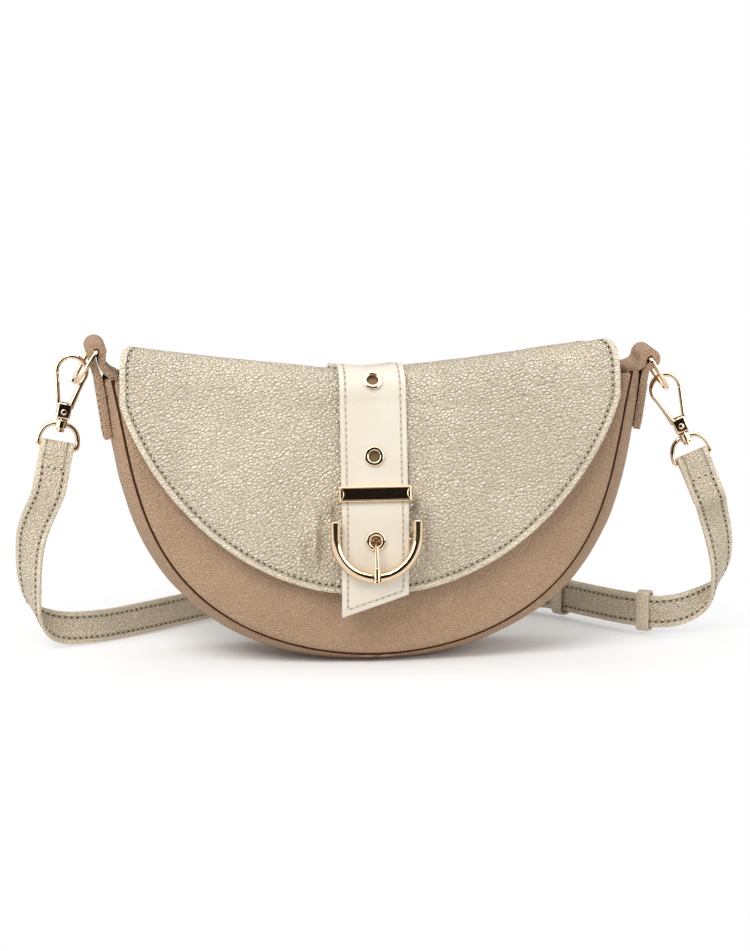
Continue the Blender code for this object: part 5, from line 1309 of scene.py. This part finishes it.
for side in TABS:
    place = hook_place(side)
    crosswise = place @ placed(Vector(), RIGHT, BACK)
    start = BLOCK_TOP - HOOK_WIRE * 2.0
    eye = [(eye_side(z) - HOOK_WIRE * 0.2, z) for z in (start, 0.007, 0.011, 0.0155)]
    eye += arc((0.0, HOOK_EYE_CENTRE), HOOK_EYE_RADIUS, -HOOK_TAPER, 180.0 + 2.0 * HOOK_TAPER, 36)
    spine = [place @ Vector((x, 0.0, z)) for x, z in eye]
    spine_radii = [HOOK_WIRE * 1.35, HOOK_WIRE * 1.15] + [HOOK_WIRE] * (len(spine) - 2)
    hook = bar("hook_" + side + "_eye", spine, spine_radii, pale_gold, sides=20, chamfer=0.0002)
    belongs(hook, side + "_hook", "pale_gold", "hook_" + side)
    deep = BLOCK_DEPTH / 2.0
    low, high = (-BLOCK_HALF, -deep, -BLOCK_HALF), (BLOCK_HALF, deep, BLOCK_TOP)
    block = cast_block("hook_" + side + "_block", low, high, place, 0.0009, 4)
    low = (-BLOCK_HALF * 2.0, -BLOCK_SLOT / 2.0, -GATE_FOOT - GATE_PLAY)
    slot_cut = cast_block("slot_cutter", low, (GATE_FOOT + GATE_PLAY, BLOCK_SLOT / 2.0, 0.01), place, 0.0)
    carve(block, [slot_cut])
    belongs(block, side + "_hook", "pale_gold")
    foot, block_foot = STEM_FOOT_HEIGHT - STEM_END, 0.0002 - BLOCK_HALF
    stem_profile = [
        (0.0, -STEM_END), (STEM_FOOT - 0.0003, -STEM_END), (STEM_FOOT, -STEM_END + 0.0003),
        (STEM_FOOT, foot - 0.0002), (STEM_FOOT - 0.0002, foot), (STEM_RADIUS, foot),
        (STEM_RADIUS, -BLOCK_HALF - 0.0002), (STEM_RADIUS * 1.5, block_foot), (0.0, block_foot),
    ]
    stem = turned("hook_" + side + "_stem", stem_profile, pale_gold, place, 28)
    belongs(stem, side + "_hook", "pale_gold")
    hip, top = [Vector((-eye_side(z), 0.0, z)) for z in (BLOCK_TOP, HOOK_GATE_TOP)]
    gate_line = [place @ point for point in (Vector(), hip * 0.7, hip, hip.lerp(top, 0.1), top)]
    gate = bar("gate_" + side + "_wire", gate_line, GATE_WIRE, pale_gold, sides=18, chamfer=0.0002)
    gate_eye = turned("gate_foot", washer(GATE_BORE, GATE_FOOT, 0.0009, 0.0008), pale_gold, crosswise, 28)
    carve(gate, [gate_eye], "UNION")
    belongs(gate, side + "_gate", "pale_gold", "gate_" + side)
    crest = deep + 0.0003
    curve = [(RIVET_HEAD * math.sin(a), crest + RIVET_DOME * math.cos(a)) for a in (1.5, 1.2, 0.8, 0.4)]
    curve = [(RIVET_RADIUS, crest)] + curve + [(0.0, crest + RIVET_DOME)]
    dome = [(radius, -height) for radius, height in reversed(curve)] + curve
    rivet = turned("rivet_" + side + "_head", dome, pale_gold, crosswise, 24)
    belongs(rivet, side + "_hook", "pale_gold", "rivet_" + side)


# Each end of the strap is folded round the straight bar of a ring. The ring's bow carries the boss
# that the hook's stem turns in.
BOSS_RADIUS, BOSS_BORE, BOSS_TOP, BOSS_HEIGHT = 0.0027, 0.0016, 0.0039, 0.0040
DEE_WIRE, DEE_HALF_WIDTH, DEE_HEIGHT, DEE_CORNER = 0.0011, 0.0094, 0.0114, 0.0016
DEE_BAR = -(BOSS_TOP + BOSS_HEIGHT / 2.0) - DEE_HEIGHT


def dee_outline():
    """As (x, z) in the hook's frame: the bow over the top, then the two lower corners."""
    made = []
    for k in range(41):
        angle = math.pi * k / 40.0
        x = DEE_HALF_WIDTH * math.copysign(abs(math.cos(angle)) ** 0.8, math.cos(angle))
        made.append((x, DEE_BAR + DEE_CORNER + (DEE_HEIGHT - DEE_CORNER) * math.sin(angle) ** 0.9))
    for start, centre in ((198.0, DEE_CORNER - DEE_HALF_WIDTH), (270.0, DEE_HALF_WIDTH - DEE_CORNER)):
        made += arc((centre, DEE_BAR + DEE_CORNER), DEE_CORNER, start, 72.0, 4)
    return made


for side in TABS:
    place = hook_place(side)
    points = [place @ Vector((x, 0.0, z)) for x, z in dee_outline()]
    ring = bar("strap_ring_" + side + "_wire", points, DEE_WIRE, pale_gold, sides=18, closed=True)
    low, high = -BOSS_TOP - BOSS_HEIGHT, -BOSS_TOP
    boss = [(0.0, low), (BOSS_RADIUS - 0.0003, low), (BOSS_RADIUS, low + 0.0003), (BOSS_RADIUS, high - 0.0003)]
    boss += [(BOSS_RADIUS - 0.0003, high), (0.0, high)]
    bore = rod(BOSS_BORE, low * 2.0, high / 2.0)
    carve(ring, [turned("boss", boss, pale_gold, place, 32)], "UNION")
    carve(ring, [turned("boss_bore", bore, pale_gold, place, 32)])
    belongs(ring, "shoulder_strap", "pale_gold", "strap_ring_" + side)


# The shoulder strap is champagne leather, sixteen millimetres wide and stitched along both edges. It
# hangs from the rings, twists over and stands on its edge on the table, in a loop behind the bag.
STRAP_WIDTH, STRAP_THICKNESS, STRAP_LAYER_GAP = 0.0158, 0.0016, 0.0004
STRAP_FOLD_LENGTH, STRAP_LOOP_DEPTH, STRAP_BUCKLE_LIFT = 0.022, 0.120, 0.0037
STRAP_BUCKLE_WIRE, STRAP_BUCKLE_REACH = 0.0011, 0.015
STRAP_STITCH_SHARE, STRAP_CREASE, STRAP_PLAIN_END = 0.18, 0.0028, 0.0395
STRAP_HOLE_STEP, STRAP_HOLE_HALF = 0.018, Vector((0.0039, 0.0014, 0.0026))
STRAP_TONE = (0.715, 0.620, 0.475, 1.0)
LEFT_STATIONS = [  # shares of the ring's distance, the loop's depth and the height; turn, tilt, lift
    (1.074, 0.045, 0.589, 20.0, 12.0, 0.1),
    (1.090, 0.070, 0.463, 36.0, 9.0, 0.1),
    (1.092, 0.100, 0.278, 48.0, 14.0, 0.1),
    (1.073, 0.142, 0.109, 58.0, 42.0, 0.1),
    (0.998, 0.190, 0.018, 68.0, 74.0, 0.1),
    (0.867, 0.255, 0.0, 60.0, 90.0, 0.1),
    (0.704, 0.400, 0.0, 55.0, 90.0, 0.1),
    (0.452, 0.660, 0.0, 55.0, 90.0, 0.2),
    (0.202, 0.865, 0.0, 65.0, 90.0, 0.5),
    (-0.064, 0.985, 0.0, 85.0, 90.0, 0.9),
]
RIGHT_STATIONS = [
    (1.072, 0.048, 0.650, 12.0, 15.0, 1.0),
    (1.101, 0.092, 0.451, 28.0, 12.0, 1.0),
    (1.111, 0.125, 0.262, 46.0, 16.0, 1.0),
    (1.091, 0.142, 0.115, 60.0, 46.0, 1.0),
    (1.022, 0.137, 0.030, 70.0, 76.0, 1.0),
    (0.935, 0.121, 0.0, 60.0, 90.0, 1.0),
    (0.839, 0.185, 0.0, 50.0, 90.0, 1.0),
    (0.753, 0.325, 0.0, 50.0, 90.0, 1.0),
    (0.642, 0.530, 0.0, 50.0, 90.0, 1.0),
]
BACK_TURN, BUCKLE_PLACE = [(0.277, 0.975), (0.444, 0.875)], (0.553, 0.705)
DOWN = Vector((0.0, 0.0, -1.0))


def dee_bar(side):
    return hook_place(side) @ Vector((0.0, 0.0, DEE_BAR))


def station(side, across, back, up, turn, tilt, lift):
    bar_place = dee_bar(side)
    run = STRAP_WIDTH / 2.0 + STRAP_BUCKLE_LIFT * lift
    place = Vector((across * bar_place.x, back * STRAP_LOOP_DEPTH, run + up * (bar_place.z - run)))
    turn, tilt = math.radians(turn), math.radians(tilt)
    flat = math.cos(tilt)
    return place, Vector((-TABS[side][0] * flat * math.cos(turn), -flat * math.sin(turn), -math.sin(tilt)))


def fold_round(bar_place, down, through_way, width, length):
    """A strap end folded round a bar: up on one side, over the bar and down on the other."""
    layer = (STRAP_THICKNESS + STRAP_LAYER_GAP) / 2.0
    bend = DEE_WIRE + STRAP_LAYER_GAP + STRAP_THICKNESS / 2.0
    near = [(length, -layer), (length * 0.4, -layer), (bend * 1.5, -(layer + bend * 2.0) / 3.0)]
    over = arc((0.0, 0.0), bend, -90.0, -180.0, 6)
    far_side = [(a, -b) for a, b in reversed(near)]
    return [(bar_place + down * a + through_way * b, width.copy()) for a, b in near + over + far_side]


def behind_place(across, back):
    height = STRAP_WIDTH / 2.0 + STRAP_BUCKLE_LIFT
    return Vector((across * dee_bar("right").x, back * STRAP_LOOP_DEPTH, height))


buckle_heel = behind_place(*BUCKLE_PLACE)
buckle_along = (buckle_heel - behind_place(*RIGHT_STATIONS[-1][:2])).normalized()
buckle_outer = Vector((buckle_along.y, -buckle_along.x, 0.0))
HEEL_OFFSET = STRAP_THICKNESS / 2.0 + STRAP_LAYER_GAP + DEE_WIRE + STRAP_LAYER_GAP + STRAP_THICKNESS
LAYER_STEP = STRAP_THICKNESS + STRAP_LAYER_GAP * 2.0


def right_run(spot):
    """The short strap's middle, its run and its outer side, counted in stations from the ring."""
    curve = through([station("right", *row)[0] for row in RIGHT_STATIONS], 8)
    k = min(round(spot * 8), len(curve) - 2)
    run = (curve[k - 1] - curve[k + 1]).normalized()
    return curve[k], run, Vector((-run.y, run.x, 0.0)).normalized()


left_up, right_up = hook_up("left"), hook_up("right")
FRONT = Vector((0.0, -1.0, 0.0))
across = Vector((left_up.z, 0.0, -left_up.x))
long_line = fold_round(dee_bar("left"), -left_up, FRONT, across, STRAP_FOLD_LENGTH)
long_line += [station("left", *row) for row in LEFT_STATIONS]
long_line += [(behind_place(*turning), DOWN) for turning in BACK_TURN]
long_line += [(buckle_heel + buckle_along * STRAP_BUCKLE_REACH, DOWN), (buckle_heel, DOWN)]
for spot in (7.875, 7.0, 6.0, 5.625, 5.375):
    middle, run, outer = right_run(spot)
    long_line.append((middle + outer * LAYER_STEP, DOWN))
across = Vector((-right_up.z, 0.0, right_up.x))
short_line = fold_round(dee_bar("right"), -right_up, FRONT, across, STRAP_FOLD_LENGTH)
short_line += [station("right", *row) for row in RIGHT_STATIONS]
heel = buckle_heel - buckle_outer * HEEL_OFFSET
short_line += fold_round(heel, -buckle_along, buckle_outer, DOWN, STRAP_FOLD_LENGTH * 0.5)


class Ribbon(Path):
    """A strap along (middle, width direction) pairs."""

    def __init__(self, line):
        super().__init__([middle for middle, width in line], 8)
        self.wide = through([width for middle, width in line], 8)

    def place(self, u, v):
        low, part = self.find(v)
        wide = self.wide[low].lerp(self.wide[low + 1], part).normalized()
        return self.points[low].lerp(self.points[low + 1], part) + wide * ((u - 0.5) * STRAP_WIDTH)


strap_leather = pebbled(
    "champagne_strap_leather", STRAP_TONE, CHAMPAGNE_CREASE_SHADE, 0.0014, 0.00045, 0.34, 0.15, STRAP_CREASE
)
long_ribbon, short_ribbon = Ribbon(long_line), Ribbon(short_line)
for strap_name, ribbon, rows in (("long_strap", long_ribbon, 460), ("short_strap", short_ribbon, 280)):
    strap = sheet(
        strap_name + "_leather", 12, rows, ribbon.place, STRAP_THICKNESS, strap_leather, offset=0.0,
        wide=STRAP_WIDTH,
    )
    if strap_name == "long_strap":
        cutters = []
        for k in range(3):
            spot = buckle_heel + buckle_along * (STRAP_BUCKLE_REACH * 0.33 - STRAP_HOLE_STEP * k)
            turn = placed(spot, buckle_along, buckle_outer)
            cutters.append(cast_block("strap_hole", -STRAP_HOLE_HALF, STRAP_HOLE_HALF, turn, 0.0))
        carve(strap, cutters)
    else:
        turn = placed(heel, buckle_along, buckle_outer)
        low, high = (-HEEL_OFFSET, -0.0015, -HEEL_OFFSET), (HEEL_OFFSET * 2.0, 0.0015, HEEL_OFFSET)
        carve(strap, [cast_block("heel_slot", low, high, turn, 0.0)])
    belongs(strap, "shoulder_strap", "champagne_leather", strap_name)
    near, far = STRAP_STITCH_SHARE, 1.0 - STRAP_STITCH_SHARE
    start = STRAP_PLAIN_END / ribbon.length[-1]
    end = 1.0 - (0.0036 if ribbon is long_ribbon else 0.021) / ribbon.length[-1]
    row = [(near, end), (near, start), (far, start), (far, end), (near, end)]
    for face_name, face in (("outer", 1.0), ("inner", -1.0)):
        stitches(
            strap_name + "_stitches_" + face_name, ribbon.place, row, champagne_thread, "shoulder_strap",
            "champagne_leather", face=face, lift=STRAP_THICKNESS / 2.0 - 0.00005,
        )


# Two loops of the same leather hold the strap's tail against the short strap. Each is a narrow strip,
# closed behind, with its edges burnished.
KEEPER_LOOP_WALL, KEEPER_LOOP_WIDTH, KEEPER_LOOP_PLAY = 0.0012, 0.0065, 0.0009
for loop_name, spot in (("keeper_loop_end", 5.625), ("keeper_loop_buckle", 7.875)):
    middle, run, outer = right_run(spot)
    place = placed(middle + outer * (LAYER_STEP / 2.0), run, UP)
    thick = LAYER_STEP / 2.0 + STRAP_THICKNESS / 2.0 + KEEPER_LOOP_PLAY + KEEPER_LOOP_WALL
    tall = STRAP_WIDTH / 2.0 + KEEPER_LOOP_PLAY + KEEPER_LOOP_WALL
    half = Vector((KEEPER_LOOP_WIDTH / 2.0, thick, tall))
    bm = block_between(-half, half)
    ends = [face for face in bm.faces if abs(face.normal.x) > 0.5]
    bmesh.ops.delete(bm, geom=ends, context="FACES_ONLY")
    long_edges = [edge for edge in bm.edges if abs(edge.verts[0].co.x - edge.verts[1].co.x) > 0.001]
    rounded_off(bm, long_edges, 0.0030, 7)
    bmesh.ops.transform(bm, matrix=place, verts=bm.verts)
    bmesh.ops.recalc_face_normals(bm, faces=bm.faces)
    loop = thickened(shown(bm, loop_name + "_leather", strap_leather), KEEPER_LOOP_WALL, -1.0, 0.0005, 3, 60.0)
    belongs(loop, "shoulder_strap", "champagne_leather", loop_name)


# The strap's buckle is a small plated frame of round wire, held in the fold at the short strap's end.
# A tongue of thinner wire turns on its heel bar and goes through a hole of the long strap.
STRAP_BUCKLE_CORNER, STRAP_PRONG_WIRE = 0.0022, 0.0008
far_out = STRAP_THICKNESS / 2.0 + STRAP_LAYER_GAP + STRAP_BUCKLE_WIRE
far_bar = buckle_heel + buckle_along * STRAP_BUCKLE_REACH + buckle_outer * far_out
frame_half = STRAP_WIDTH / 2.0 + STRAP_LAYER_GAP * 2.5 + STRAP_BUCKLE_WIRE
frame_reach, frame_way = (far_bar - heel).length, (far_bar - heel).normalized()
outline = []
far_corner, high_corner = frame_reach - STRAP_BUCKLE_CORNER, frame_half - STRAP_BUCKLE_CORNER
for middle, start in (
    ((far_corner, high_corner), 0.0),
    ((STRAP_BUCKLE_CORNER, high_corner), 90.0),
    ((STRAP_BUCKLE_CORNER, -high_corner), 180.0),
    ((far_corner, -high_corner), 270.0),
):
    outline += arc(middle, STRAP_BUCKLE_CORNER, start, 90.0, 6)
points = [heel + frame_way * x + UP * z for x, z in outline]
strap_buckle = bar("strap_buckle_wire", points, STRAP_BUCKLE_WIRE, pale_gold, closed=True)
belongs(strap_buckle, "shoulder_strap", "pale_gold", "strap_buckle")
eye_hole = STRAP_BUCKLE_WIRE + 0.0003
crest = STRAP_BUCKLE_WIRE + 0.00045 + STRAP_PRONG_WIRE
rise = HEEL_OFFSET + STRAP_THICKNESS / 2.0 + STRAP_PRONG_WIRE + 0.0003
tongue_line = [
    heel + buckle_along * (eye_hole + STRAP_PRONG_WIRE / 2.0),
    heel + buckle_along * (STRAP_BUCKLE_REACH * 0.4) + buckle_outer * (rise * 0.75),
    far_bar + buckle_outer * crest - buckle_along * (STRAP_BUCKLE_REACH * 0.25),
    far_bar + buckle_outer * crest + buckle_along * (STRAP_BUCKLE_WIRE * 1.5),
]
tongue = bar("strap_tongue_wire", tongue_line, STRAP_PRONG_WIRE, pale_gold, sides=14, chamfer=0.0002)
rim = washer(eye_hole, eye_hole + 0.0008, 0.0008, 0.0006)
carve(tongue, [turned("tongue_eye", rim, pale_gold, placed(heel, buckle_along, UP), 28)], "UNION")
belongs(tongue, "strap_tongue", "pale_gold", "strap_prong")


low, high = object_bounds()
{"cad": [list(cad_low), list(cad_high)], "visual": [list(low), list(high)]}
